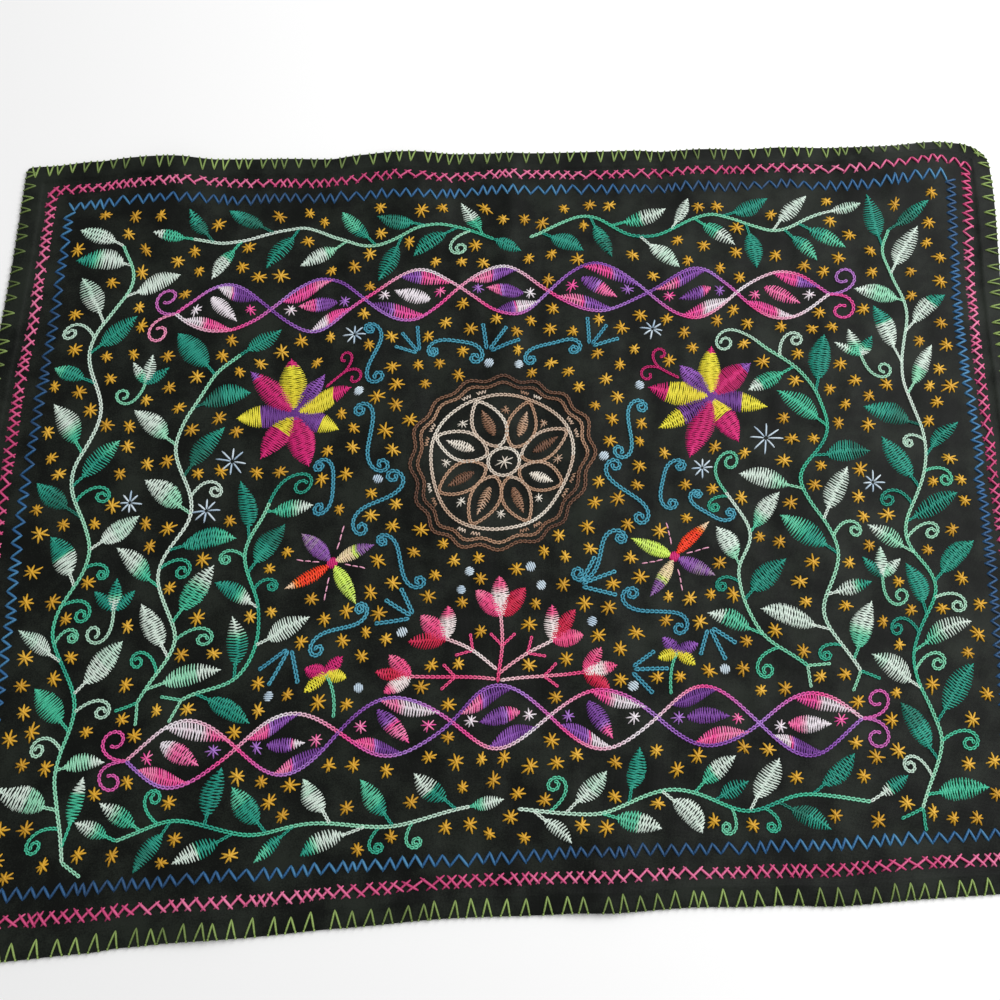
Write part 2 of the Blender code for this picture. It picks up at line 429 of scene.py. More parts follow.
class StageLooks(bpy.types.PropertyGroup):
    """The floor, the lights and the camera."""

    lens: bpy.props.FloatProperty(
        name="Lens", description="Focal length on a 36 mm sensor", default=39.6, min=10.0,
        subtype="DISTANCE_CAMERA", unit="CAMERA",
    )
    floor_colour: colour("Floor", "Colour of the floor", "ffffff")
    key_power: bpy.props.FloatProperty(
        name="Key light", description="Power of the large soft light", default=53.5, min=0.0,
        unit="POWER",
    )
    sky_strength: bpy.props.FloatProperty(
        name="Room light", description="Strength of the even light from all round", default=0.40, min=0.0,
    )


# Where stitches already lie, as a raster over the cut cloth
taken = np.zeros((int(CLOTH_WIDTH / TAKEN_CELL) + 2, int(CLOTH_DEPTH / TAKEN_CELL) + 2), bool)


def cells(places):
    """The raster cells of places on the cut cloth."""
    column = np.clip(((places[..., 0] + HALF_A) / TAKEN_CELL).astype(int), 0, taken.shape[0] - 1)
    row = np.clip(((places[..., 1] + HALF_B) / TAKEN_CELL).astype(int), 0, taken.shape[1] - 1)
    return column, row


def mark(places):
    """Notes that stitches lie at these places."""
    taken[cells(places)] = True


def free(places):
    """True where these places are in the field and no stitch lies there."""
    across = (places[..., 0] > -FIELD_LEFT) & (places[..., 0] < FIELD_RIGHT)
    inside = across & (abs(places[..., 1]) < FIELD_B)
    return bool(inside.all() and not taken[cells(places)].any())


def left_of(ahead):
    """The unit vectors to the left of vectors of any length."""
    ahead = ahead / np.maximum(np.linalg.norm(ahead, axis=-1, keepdims=True), 1e-9)
    return np.stack([-ahead[..., 1], ahead[..., 0]], axis=-1)


def beside(path, margin):
    """The places of a path and of a strip at both its sides."""
    side = left_of(np.gradient(path, axis=0))
    return np.concatenate([path + share * margin * side for share in (-1.0, -0.5, 0.0, 0.5, 1.0)])


def room_for(shape, middle, reach, rng):
    """The first place near a middle, within a reach, where a shape round (0, 0) is free, or None."""
    for attempt in range(ROOM_TRIES):
        place = middle + rng.uniform(-1, 1, 2) * reach * attempt / ROOM_TRIES
        if free(place + shape):
            return place
    return None


def polar(turn, radius):
    """Places round (0, 0) at these angles and distances."""
    return np.asarray(radius)[..., None] * np.stack([np.cos(turn), np.sin(turn)], axis=-1)


def disc(middle, radius):
    """Places that fill a disc."""
    rings = [np.array([[0.0, 0.0]])]
    for share in (0.35, 0.7, 1.0):
        rings.append(polar(np.linspace(0, 2 * math.pi, 8 + int(16 * share), endpoint=False), share))
    return np.asarray(middle) + radius * np.concatenate(rings)


# A strand is a short stretch of thread with four rings, at these shares of its length; each ring
# has four corners, at these half widths to the left and up
RINGS = np.array([0.0, 0.24, 0.76, 1.0])
RING_ASIDE = np.array([1.0, 0.5, -0.5, -1.0])
RING_UP = np.array([-0.45, 0.80, 0.80, -0.45]) * 0.85
STRAND_ENDS = np.array([0.68, 1, 1, 0.68])
STRAND_SINK = 0.00035
LOWEST = 0.0001
# Each of the two strands of a chain stitch: the shares of the stitch along and aside, the heights,
# and the shares of its half width
LINK_ALONG = np.array([-0.12, 0.28, 0.78, 1.06])
LINK_ASIDE = np.array([0.0, 0.75, 1.0, 0.05])
LINK_HEIGHTS = np.array([-0.00005, 0.00040, 0.00062, 0.00020])
LINK_HALVES = np.array([0.7, 1, 1.05, 0.75])
LINK_OVERLAP = 0.00005
# On the map a strand is a narrow column: across it is the place along the dyed thread, and up it
# is the place along the strand
MAP_CELL = 0.010
MAP_ALONG = 0.040
MAP_FULL = 0.98


class Skein:
    """The strands of one piece, as places on the cut cloth, kept until its mesh is made."""

    def __init__(self):
        self.strands = []

    def add(self, places, heights, halves, shades):
        """Adds strands: places (n, 4, 2), a height and a half width for each ring, and shades."""
        rings = places.shape[:2]
        heights, halves = np.broadcast_to(heights, rings), np.broadcast_to(halves, rings)
        self.strands.append((places, heights, halves, np.broadcast_to(shades, rings[:1])))
        for share in np.linspace(0, 1, 7):
            mark(places[:, 0] + share * (places[:, -1] - places[:, 0]))

    def strokes(self, start, end, shade, width=None, rise=None, seat=0.0):
        """Straight stitches, each from one place to another, that go into the cloth at both ends."""
        sizes = bpy.context.scene.stitch_sizes
        width = sizes.satin_width if width is None else width
        rise = sizes.satin_rise if rise is None else rise
        start, end = np.atleast_2d(start), np.atleast_2d(end)
        places = start[:, None] + RINGS[None, :, None] * (end - start)[:, None]
        rise, seat, width = (np.broadcast_to(v, start.shape[:1])[:, None] for v in (rise, seat, width))
        heights = np.array([0, 1, 1, 0]) * (rise + seat) - np.array([1, 0, 0, 1]) * STRAND_SINK
        self.add(places, heights, width / 2 * STRAND_ENDS, shade)

    def chain(self, path, shade, size=1.0):
        """Chain stitch along a path of evenly spaced places: each link is a loop of two strands."""
        sizes = bpy.context.scene.stitch_sizes
        step = np.diff(path, axis=0)
        side = left_of(step)
        bulge = size * (sizes.chain_width - sizes.chain_thread) / 2
        shade = np.broadcast_to(shade, path.shape[:1])[:-1]
        for hand in (-1, 1):
            places = path[:-1, None] + LINK_ALONG[None, :, None] * step[:, None]
            places = places + (hand * bulge * LINK_ASIDE)[None, :, None] * side[:, None]
            heights = LINK_HEIGHTS + (LINK_OVERLAP if hand > 0 else 0)
            self.add(places, heights, size * sizes.chain_thread / 2 * LINK_HALVES, shade)

    def mesh(self, name, rng):
        """One mesh of all the strands, laid on the cloth."""
        places, heights, halves, shades = (np.concatenate(part) for part in zip(*self.strands))
        places = wandered(places)
        count = len(places)
        side = left_of(np.gradient(places, axis=1)) * halves[..., None]
        corners = places[:, :, None] + RING_ASIDE[None, None, :, None] * side[:, :, None]
        x, y = laid(corners[..., 0], corners[..., 1])
        ground = surface(places[..., 0], places[..., 1])
        z = np.maximum((ground + heights)[..., None] + RING_UP * halves[..., None], LOWEST)

        quads, map_u, map_v = [], [], []
        for ring in range(3):
            for turn in range(4):
                here, after = 4 * ring + turn, 4 * ring + (turn + 1) % 4
                quads.append((here, after, after + 4, here + 4))
                map_u.append((turn / 4, (turn + 1) / 4, (turn + 1) / 4, turn / 4))
                map_v.append((ring, ring, ring + 1, ring + 1))
        quads += [(0, 3, 2, 1), (12, 13, 14, 15)]
        map_u += [(0.0, 0.5, 1.0, 0.5)] * 2
        map_v += [(0, 0, 0, 0), (3, 3, 3, 3)]
        faces = (16 * np.arange(count)[:, None, None] + np.array(quads)[None]).reshape(-1, 4)
        mesh = bpy.data.meshes.new(name)
        mesh.from_pydata(np.stack([x, y, z], axis=3).reshape(-1, 3).tolist(), [], faces.tolist())

        reach = np.clip(np.linalg.norm(places[:, -1] - places[:, 0], axis=1) / MAP_ALONG, 0, MAP_FULL)
        start = rng.uniform(0, 1, count) * (1 - reach) * MAP_FULL
        along = start[:, None] + RINGS[None] * reach[:, None]
        u = np.clip(shades, 0.0, 1.0)[:, None, None] * (1 - MAP_CELL) + np.array(map_u)[None] * MAP_CELL
        v = along[:, np.array(map_v)]
        v[:, -2:] = v[:, -2:] + np.array([0.002, 0.004, 0.002, 0.0])
        layer = mesh.uv_layers.new(name="OFBake")
        layer.data.foreach_set("uv", np.stack([u, v], axis=3).astype(np.float32).ravel())
        mesh.shade_smooth()
        return mesh


def put(name, data):
    """Puts a new object into the scene."""
    made = bpy.data.objects.new(name, data)
    bpy.context.scene.collection.objects.link(made)
    return made


def sew(name, skein, thread, seed):
    """Makes the piece of one skein, with its thread's material, and fixes it to the cloth."""
    piece = put(name, skein.mesh(name, np.random.default_rng(seed)))
    piece.data.materials.append(thread_material(thread))
    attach(piece, "root")


def smooth_path(points, step):
    """Evenly spaced places on a smooth curve through points."""
    points = np.asarray(points, float)
    points = np.concatenate([[2 * points[0] - points[1]], points, [2 * points[-1] - points[-2]]])
    t = np.linspace(0, 1, 40, endpoint=False)[:, None]
    runs = []
    for p0, p1, p2, p3 in zip(points, points[1:], points[2:], points[3:]):
        rise = 2 * p1 + (p2 - p0) * t + (2 * p0 - 5 * p1 + 4 * p2 - p3) * t**2
        runs.append(0.5 * (rise + (3 * p1 - p0 - 3 * p2 + p3) * t**3))
    return evenly(np.concatenate(runs + [points[-2:-1]]), step)


def evenly(path, step):
    """The same path with its places a step apart."""
    gone = np.concatenate([[0], np.cumsum(np.linalg.norm(np.diff(path, axis=0), axis=1))])
    count = max(2, int(round(gone[-1] / step)) + 1)
    at = np.linspace(0, gone[-1], count)
    return np.stack([np.interp(at, gone, path[:, 0]), np.interp(at, gone, path[:, 1])], axis=1)


def straight(start, end, step):
    """Evenly spaced places on a straight line."""
    return evenly(np.array([start, end]), step)


def turned(path, turn):
    """A path turned about (0, 0)."""
    ahead = unit(turn)
    return path @ np.array([ahead, (-ahead[1], ahead[0])])


def mirrored(hand, a, b):
    """A place of the left half, for the hand -1, or its like on the right, for the hand 1."""
    return np.array([-hand * a, b])


def curl(start, heading, bends, step):
    """A path that starts with a heading and turns by the bend, in radians a metre, of each step."""
    moves = step * polar(heading + np.cumsum(bends) * step, 1.0)
    return np.asarray(start) + np.concatenate([[[0, 0]], np.cumsum(moves, axis=0)])


def heading_of(path, i):
    """The direction of a path at one of its places."""
    low, high = max(i - 1, 0), min(i + 1, len(path) - 1)
    return math.atan2(path[high, 1] - path[low, 1], path[high, 0] - path[low, 0])


def unit(heading):
    """The unit vector of a direction."""
    return np.array([math.cos(heading), math.sin(heading)])


# How a leaf narrows towards its ends, from 1 for sharp ones to 0 for a plain strip
LEAF_POINT = 0.74
LOBE_POINT = 0.55
# The stitches that fill a leaf, and those of a filled spot
MESH_PITCH = 0.00188
MESH_THREAD = 0.00110
SPOT_PITCH = 0.0013
SPOT_THREAD = 0.0014
STAR_RISE = 0.0004
STAR_LAYER = 0.00022


def leaf_half(t, width, point):
    """Half the width of a leaf at a share of its length, rounder at its base than at its tip."""
    return width / 2 * np.sin(math.pi * t**0.86) ** point


class Leaf:
    """The outline of one leaf or petal."""

    def __init__(self, base, heading, length, width, bend=0.0, point=LEAF_POINT):
        self.base = np.asarray(base, float)
        self.ahead = unit(heading)
        self.side = np.array([-self.ahead[1], self.ahead[0]])
        self.length = length
        self.width = width
        self.bend = bend
        self.point = point

    def place(self, t, across):
        """The place at a share of the length and a share of the half width, left of the axis above 0."""
        t, across = np.asarray(t, float), np.asarray(across, float)
        t_in = np.clip(t, 0.0, 1.0)
        aside = self.bend * self.length * np.sin(math.pi * t_in)
        aside = aside + across * leaf_half(t_in, self.width, self.point)
        return self.base + t[..., None] * self.length * self.ahead + aside[..., None] * self.side

    def filled(self, margin, start=0.0):
        """Places all over the leaf and a margin round it."""
        t, across = np.meshgrid(np.linspace(start, 1 + margin / self.length, 22), np.linspace(-1, 1, 11))
        wide = leaf_half(np.clip(t, 0, 1), self.width, self.point)
        return self.place(t, across * (wide + margin) / np.maximum(wide, 1e-6)).reshape(-1, 2)


def meshed_leaf(skein, leaf, shade, rng, span=(0.0, 1.0), closeness=1.0):
    """Fills a leaf with slanting stitches from each edge almost to the other, which make a mesh."""
    pitch = MESH_PITCH / closeness * rng.uniform(0.94, 1.10)
    across = rng.uniform(0.78, 1.0) if rng.uniform() < 0.75 else rng.uniform(0.45, 0.70)
    slant = rng.uniform(0.0012, 0.0034)
    count = int(leaf.length / pitch)
    for hand in (-1, 1):
        t = (np.arange(count) + 0.5 + 0.25 * hand + rng.uniform(-0.16, 0.16, count)) / count
        t = t[(t > max(0.02, span[0])) & (t < min(0.985, span[1]))]
        inner = np.maximum(t - slant / leaf.length * (0.4 + 0.6 * np.sin(math.pi * t)), 0.0)
        start = leaf.place(t, hand * (1 + rng.uniform(-0.04, 0.03, len(t))))
        end = leaf.place(inner, -hand * across * (1 + rng.uniform(-0.12, 0.04, len(t))))
        skein.strokes(start, end, shade(t), width=MESH_THREAD, seat=rng.uniform(0.0, 0.00022, len(t)))
    if span[1] > 0.9:
        tip = leaf.place(np.array([0.80, 1.02]), np.zeros(2))
        skein.strokes(tip[0], tip[1], shade(np.array([0.97])), seat=0.0002)


def changing(first, last, at, soft, rng, noise=0.025):
    """A shade along a leaf that changes from one stretch of the thread to another."""

    def shade(t):
        t = np.asarray(t, float)
        return first + (last - first) * ease(at - soft, at + soft, t) + rng.uniform(-noise, noise, t.shape)

    return shade


def cycling(path, step, period, start, low=0.0, high=1.0, lightness=1.0):
    """Shades along a path that run from low to high and back, as a variegated thread does."""
    turn = (np.arange(len(path)) * step / period + start) % 1.0
    return low + (high - low) * (1 - abs(2 * turn - 1)) ** lightness


def star(skein, middle, reach, shade, rng, width=0.00105):
    """A star of four threads that cross at its middle."""
    turn = rng.uniform(-0.3, 0.3)
    longest = rng.integers(8)
    for i in range(4):
        heading = turn + math.pi * i / 4 + rng.uniform(-0.13, 0.13)
        out = unit(heading) * reach / 2 * (1.15 if i == longest else 1.0)
        share = rng.uniform(0.80, 1.08, 2)
        off = rng.uniform(-0.0003, 0.0003, 2)
        tone = shade + rng.uniform(-0.06, 0.06)
        start, end = middle - out * share[0] + off, middle + out * share[1] + off
        skein.strokes(start, end, tone, width=width, rise=STAR_RISE + STAR_LAYER * i)


def spot(skein, middle, across, along, shade, rng):
    """A small filled round or oval of stitches side by side."""
    count = max(5, int(along / SPOT_PITCH))
    aside = np.linspace(-0.82, 0.82, count)
    turn = rng.uniform(0, math.pi)
    spin = np.array([unit(turn), unit(turn + math.pi / 2)])
    ends = np.stack([aside * along / 2, np.sqrt(1 - aside**2) * across / 2], axis=1)
    skein.strokes(middle + ends @ spin, middle + ends * (1, -1) @ spin, shade, width=SPOT_THREAD)


# How the fibres and the twist of a thread are stretched over its map, and what they change
FIBRE_SCALE = (90.0, 60.0, 1.0)
FIBRE_SHADE = (0.84, 1.14)
THREAD_ROUGHNESS = (0.46, 0.66)
TWIST_SCALE = (100.0, 30.0, 1.0)
TWIST_DEPTH = 0.0002
COTTON_ROUGHNESS = (0.46, 0.60)


def take(tree, made, inputs):
    """Sets the inputs of a node, or links an input whose value is another node's output."""
    for key, value in inputs.items():
        if isinstance(value, bpy.types.NodeSocket):
            tree.links.new(value, made.inputs[key])
        else:
            made.inputs[key].default_value = value


def node(tree, kind, inputs, **settings):
    """Adds a shader node, to the right of the last one, with its settings and inputs."""
    made = tree.nodes.new("ShaderNode" + kind)
    made.location = (200 * len(tree.nodes) - 3000, 0)
    for key, value in settings.items():
        setattr(made, key, value)
    take(tree, made, inputs)
    return made


def ramped(tree, value, low, high, **settings):
    """A value from 0 to 1 brought to the range from low to high."""
    inputs = {"Value": value, "To Min": low, "To Max": high}
    return node(tree, "MapRange", inputs, **settings).outputs["Result"]


def new_material(name):
    """A new material with its node tree and its shader."""
    material = bpy.data.materials.new(name)
    material.use_nodes = True
    return material, material.node_tree, material.node_tree.nodes["Principled BSDF"]


def thread_material(thread):
    """Twisted cotton thread, whose colour is read along its map from one dye to the next."""
    name = thread + "_thread"
    if name in bpy.data.materials:
        return bpy.data.materials[name]
    dyes = bpy.context.scene.thread_colours
    stops = [getattr(dyes, f"{thread}_{tone}") for tone in THREADS[thread][1]]
    material, tree, shader = new_material(name)
    where = node(tree, "UVMap", {}, uv_map="OFBake").outputs["UV"]
    apart = node(tree, "SeparateXYZ", {"Vector": where})
    ramp = node(tree, "ValToRGB", {"Fac": apart.outputs["X"]})
    elements = ramp.color_ramp.elements
    for _ in stops[2:]:
        elements.new(0.5)
    for i, (element, stop) in enumerate(zip(elements, stops)):
        element.position = 0.02 + 0.96 * i / (len(stops) - 1)
        element.color = stop

    fibre_map = node(tree, "Mapping", {"Vector": where, "Scale": FIBRE_SCALE}).outputs["Vector"]
    fibre = node(tree, "TexNoise", {"Vector": fibre_map, "Scale": 1.0, "Detail": 2.0}).outputs["Fac"]
    tint = {"Value": ramped(tree, fibre, *FIBRE_SHADE), "Color": ramp.outputs["Color"]}
    twist_map = node(tree, "Mapping", {"Vector": where, "Scale": TWIST_SCALE}).outputs["Vector"]
    twist = node(
        tree, "TexWave", {"Vector": twist_map, "Scale": 0.45}, wave_type="BANDS",
        bands_direction="DIAGONAL",
    )
    bump = {"Strength": 0.5, "Distance": TWIST_DEPTH, "Height": twist.outputs["Fac"]}
    take(tree, shader, {
        "Base Color": node(tree, "HueSaturation", tint).outputs["Color"],
        "Roughness": ramped(tree, fibre, *THREAD_ROUGHNESS),
        "Normal": node(tree, "Bump", bump).outputs["Normal"],
        "Sheen Weight": 0.03,
        "Sheen Roughness": 0.4,
    })
    return material


def cotton_material():
    """Dark plain-weave cotton, a little uneven in its dye and dusty where it is worn."""
    looks = bpy.context.scene.cloth_looks
    material, tree, shader = new_material("dark_cotton")
    where = node(tree, "UVMap", {}, uv_map="Cut").outputs["UV"]
    yarn = {"Vector": where, "Scale": math.pi / 10 / looks.weave_pitch, "Distortion": 0.6, "Detail": 1.0}
    yarns = [node(tree, "TexWave", yarn, bands_direction=way).outputs["Fac"] for way in ("X", "Y")]
    weave = node(tree, "Math", dict(enumerate(yarns)), operation="MAXIMUM").outputs["Value"]
    bump = {"Strength": 1.0, "Distance": looks.weave_depth, "Height": weave}

    patches = {"Vector": where, "Scale": 22.0, "Detail": 6.0, "Roughness": 0.65}
    patches = node(tree, "TexNoise", patches).outputs["Fac"]
    specks = node(tree, "TexNoise", {"Vector": where, "Scale": 900.0, "Detail": 2.0}).outputs["Fac"]
    faint = node(tree, "Math", {0: specks, 1: 0.30}, operation="MULTIPLY").outputs["Value"]
    worn = node(tree, "Math", {0: patches, 1: 0.75, 2: faint}, operation="MULTIPLY_ADD").outputs["Value"]
    shown = node(
        tree, "MapRange", {"Value": worn, "From Min": 0.43, "From Max": 0.66},
        interpolation_type="SMOOTHSTEP",
    )
    # Inputs 6 and 7 and output 2 are the ones of a mix of two colours
    mix = {"Factor": shown.outputs["Result"], 6: looks.cotton_dark, 7: looks.cotton_worn}
    take(tree, shader, {
        "Base Color": node(tree, "Mix", mix, data_type="RGBA").outputs[2],
        "Roughness": ramped(tree, specks, *COTTON_ROUGHNESS),
        "Normal": node(tree, "Bump", bump).outputs["Normal"],
        "Sheen Weight": 0.02,
        "Sheen Roughness": 0.5,
        "Specular IOR Level": 0.12,
    })
    return material


# Rows of the visible sheet, measured in from the edge, and even cells inside them
EDGE_ROWS = (0.0, 0.00015, 0.0005, 0.0013, 0.004, 0.007, 0.010, 0.0128, HEM_WIDTH, 0.0155, 0.0170)
SHEET_CELLS_A = 222
SHEET_CELLS_B = 166
# Where each side of the sheet lies on its map: its least u and v, and how large a width of 1 is
SHEET_MAPS = {"top": (0.002, 0.002, 0.996), "under": (0.002, 0.765, 0.3)}


def sheet_rows(half, count):
    """The places of the sheet's rows along one side of the cut cloth."""
    edge = [half - row for row in EDGE_ROWS[:-1]]
    inner = half - EDGE_ROWS[-1]
    return np.array(sorted({*edge, *(-row for row in edge), *np.linspace(-inner, inner, count + 1)}))


def sheet_mesh(name):
    """One closed sheet: an upper and a lower grid that share their edge, rounded as folded cloth is."""
    rows_a = sheet_rows(HALF_A, SHEET_CELLS_A)
    rows_b = sheet_rows(HALF_B, SHEET_CELLS_B)
    sheet = bmesh.new()
    baked = sheet.loops.layers.uv.new("OFBake")
    woven = sheet.loops.layers.uv.new("Cut")
    a, b = (grid.ravel() for grid in np.meshgrid(rows_a, rows_b, indexing="ij"))
    x, y = laid(a, b)
    inward = np.clip(edge_distance(a, b) / bpy.context.scene.cloth_looks.edge_round, 0, 1)
    bulge = np.sqrt(1 - (1 - inward) ** 2)
    under, over = lift(a, b), surface(a, b)
    middle = (under + over) / 2
    top = [sheet.verts.new(place) for place in zip(x, y, middle + (over - middle) * bulge)]
    low = [
        shared if rim else sheet.verts.new(place)
        for shared, rim, place in zip(top, inward == 0, zip(x, y, middle + (under - middle) * bulge))
    ]
    down = len(rows_b)
    for side, made in (("top", top), ("under", low)):
        left, bottom, share = SHEET_MAPS[side]
        for i in range(len(rows_a) - 1):
            for j in range(down - 1):
                ring = [i * down + j, (i + 1) * down + j, (i + 1) * down + j + 1, i * down + j + 1]
                if side == "under":
                    ring.reverse()
                face = sheet.faces.new([made[k] for k in ring])
                face.smooth = True
                for loop, k in zip(face.loops, ring):
                    u, v = (a[k] + HALF_A) / CLOTH_WIDTH, (b[k] + HALF_B) / CLOTH_WIDTH
                    loop[baked].uv = (left + u * share, bottom + v * share)
                    loop[woven].uv = (a[k], b[k])
    mesh = bpy.data.meshes.new(name)
    sheet.to_mesh(mesh)
    sheet.free()
    return mesh


class CLOTH_OT_sheet(bpy.types.Operator):
    """Lay the hemmed cotton sheet on the floor"""

    bl_idname = "cloth.sheet"
    bl_label = "Cotton sheet"

    def execute(self, context):
        sheet = put("cloth_sheet", sheet_mesh("cloth_sheet"))
        sheet.data.materials.append(cotton_material())
        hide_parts("cloth")
        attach(sheet, "root")
        return {"FINISHED"}


# The open edge stitches on each side: how far apart, how deep and how wide each one is, and how
# light its stretch of the thread is. The left side's low tone is painted shade, for the weaker light
# on that side
EdgeStitch = namedtuple("EdgeStitch", "pitch depth width tone")
EDGE_STITCHES = {
    "far": EdgeStitch(0.0111, 0.0106, 0.0056, 0.60),
    "near": EdgeStitch(0.0123, 0.0119, 0.0066, 0.70),
    "left": EdgeStitch(0.0119, 0.0096, 0.0058, 0.20),
    "right": EdgeStitch(0.0119, 0.0110, 0.0060, 0.70),
}
EDGE_START = 0.008
EDGE_STRAY = 0.001
EDGE_FOOT = 0.0004
EDGE_THREAD = 0.0015
EDGE_RISE = 0.00045
EDGE_CROSSING = 0.0001
# How the thread of an edge stitch goes round the folded edge: its distance in and its height
WRAP_DEPTHS = (0.0012, -0.0004, -0.0004, 0.0012)
WRAP_HEIGHTS = np.array([0.0002, -0.0003, -0.0019, -0.0024])
# The herringbone line on each side: its pitch, how much that grows along the side, its height, how
# far its legs run past their crossing as a share of the pitch, and the place where they open up
Herringbone = namedtuple("Herringbone", "pitch growth height past opens")
HERRINGBONES = {
    "far": Herringbone(0.0090, 0.12, 0.0083, 0.42, 0.275),
    "near": Herringbone(0.0086, 0.00, 0.0086, 0.48, 1.0),
    "left": Herringbone(0.0082, 0.00, 0.0089, 0.44, 1.0),
    "right": Herringbone(0.0087, -0.16, 0.0084, 0.42, 0.215),
}
HERRINGBONE_WAVE = 0.33
HERRINGBONE_STRAY = 0.0005
OPENS_OVER = 0.03
ROSE_THREAD = 0.0019
ROSE_RISE = 0.00035
ROSE_SEATS = {-1: 0.0003, 1: 0.0005}
# The zigzag line on each side
Zigzag = namedtuple("Zigzag", "pitch height")
ZIGZAGS = {
    "far": Zigzag(0.0095, 0.0088),
    "near": Zigzag(0.0093, 0.0084),
    "left": Zigzag(0.0098, 0.0083),
    "right": Zigzag(0.0070, 0.0078),
}
NAVY_THREAD = 0.0021
NAVY_RISE = 0.0004
# The lengths over which the shades of the three threads change
LIME_DYE = 0.16
ROSE_DYE = 0.27
NAVY_DYE = 0.37
# The far and near lines run through the corners, and the others stop short of them
CORNER_STARTS = {"far": 0.0022, "near": 0.0, "left": 0.0045, "right": 0.0045}


def slow_wave(along, length, rng):
    """A wave from -1 to 1 along a line, with a chance phase."""
    return np.sin(2 * math.pi * along / length + rng.uniform(0, 2 * math.pi))


def border_places(side, start, pitch, rng, growth=0.0):
    """Unevenly spaced places along one side, which begin and end at a distance from its ends."""
    half = side.half - start
    count = int(round(2 * half / pitch))
    along = np.linspace(-half, half, count + 1)
    bunch = sum(reach * slow_wave(along, wave, rng) for wave, reach in PITCH_WAVES)
    bunch = bunch * ease(0.0, PITCH_FADE, half - abs(along))
    bunch = bunch + rng.uniform(-PITCH_STRAY, PITCH_STRAY, count + 1) * pitch
    return along + bunch + growth / 2 * (along**2 / half - half)


def line_places(side, depths, pitch, rng, growth=0.0):
    """The places along one side of a line that runs round the border, and its depth at each."""
    start = np.mean(depths[side.name]) / 1000 + CORNER_STARTS[side.name]
    along = border_places(side, start, pitch, rng, growth)
    return along, line_depth(depths, side, side.way * along)


class CLOTH_OT_edge_stitches(bpy.types.Operator):
    """Sew the open lime stitches over the hem, all round the edge"""

    bl_idname = "cloth.edge_stitches"
    bl_label = "Edge stitches"

    def execute(self, context):
        rng = np.random.default_rng(SEED + 1)
        skein = Skein()
        for side in SIDES:
            kind = EDGE_STITCHES[side.name]
            along = border_places(side, EDGE_START, kind.pitch, rng)
            count = len(along)
            peak = along + rng.uniform(-EDGE_STRAY, EDGE_STRAY, count)
            tip = side.place(peak, kind.depth * rng.uniform(0.88, 1.08, count))
            # The low tone of the left side is painted shade, for the weaker light there
            shade = kind.tone + 0.3 * slow_wave(along, LIME_DYE, rng) + rng.uniform(-0.2, 0.2, count)
            for hand in (-1, 1):
                foot = along + hand * kind.width / 2 * rng.uniform(0.85, 1.1, count)
                depths = (EDGE_FOOT,) + WRAP_DEPTHS
                edge, *over = [side.place(foot, np.full(count, deep)) for deep in depths]
                seat = EDGE_CROSSING * (hand > 0)
                skein.strokes(edge, tip, shade, width=EDGE_THREAD, rise=EDGE_RISE, seat=seat)
                skein.add(np.stack(over, axis=1), WRAP_HEIGHTS, EDGE_THREAD * 0.45, shade)
        sew("hem_stitches", skein, "lime", SEED + 1)
        return {"FINISHED"}


class CLOTH_OT_rose_line(bpy.types.Operator):
    """Sew the rose herringbone line round the border"""

    bl_idname = "cloth.rose_line"
    bl_label = "Rose line"

    def execute(self, context):
        rng = np.random.default_rng(SEED + 2)
        skein = Skein()
        for side in SIDES:
            kind = HERRINGBONES[side.name]
            along, depth = line_places(side, ROSE_DEPTHS, kind.pitch, rng, kind.growth * side.way)
            count = len(along)
            reach = kind.height / 2 * rng.uniform(0.86, 1.10, count)
            past = kind.past * (1 + 0.25 * slow_wave(along, HERRINGBONE_WAVE, rng))
            opened = ease(kind.opens - OPENS_OVER, kind.opens + OPENS_OVER, side.way * along)
            way = np.gradient(along) * (0.25 + 0.5 * past * (1 - 0.9 * opened))
            shade = 0.6 + 0.2 * slow_wave(along, ROSE_DYE, rng)
            for hand, seat in ROSE_SEATS.items():
                stray = rng.uniform(-HERRINGBONE_STRAY, HERRINGBONE_STRAY, count)
                middle = along + (0.25 + 0.25 * hand) * kind.pitch + stray
                low = side.place(middle - hand * way, depth - reach * rng.uniform(0.9, 1.1, count))
                high = side.place(middle + hand * way, depth + reach * rng.uniform(0.9, 1.1, count))
                tone = shade + rng.uniform(-0.16, 0.16, count)
                skein.strokes(low, high, tone, width=ROSE_THREAD, rise=ROSE_RISE, seat=seat)
        sew("rose_line", skein, "rose", SEED + 2)
        return {"FINISHED"}


class CLOTH_OT_navy_line(bpy.types.Operator):
    """Sew the navy zigzag line round the border"""

    bl_idname = "cloth.navy_line"
    bl_label = "Navy line"

    def execute(self, context):
        rng = np.random.default_rng(SEED + 3)
        skein = Skein()
        for side in SIDES:
            kind = ZIGZAGS[side.name]
            along, depth = line_places(side, NAVY_DEPTHS, kind.pitch / 2, rng)
            count = len(along)
            turn = np.where(np.arange(count) % 2 == 0, -0.5, 0.5)
            knee = side.place(along, depth + turn * kind.height * rng.uniform(0.76, 1.10, count))
            shade = 0.42 + 0.28 * slow_wave(along, NAVY_DYE, rng)
            shade = shade + 0.16 * turn + rng.uniform(-0.1, 0.1, count)
            past = np.diff(knee, axis=0) * rng.uniform(0.0, 0.10, (count - 1, 1))
            skein.strokes(knee[:-1] - past, knee[1:] + past, shade[1:], width=NAVY_THREAD, rise=NAVY_RISE)
        sew("navy_line", skein, "navy", SEED + 3)
        return {"FINISHED"}


# The round rosette in the middle of the field
ROSETTE_PLACE = np.array([0.0, 0.030])
ROSETTE_RADIUS = 0.070
ROSETTE_PETALS = 8
ROSETTE_DYE = 0.15
# The short zigzags between its outer rings, with their place and height as shares of its radius
NOTCH = 0.862
NOTCH_HEIGHT = 0.022
NOTCH_HALF_TURN = 0.06
NOTCH_THREAD = 0.0009
NOTCH_RISE = 0.0003
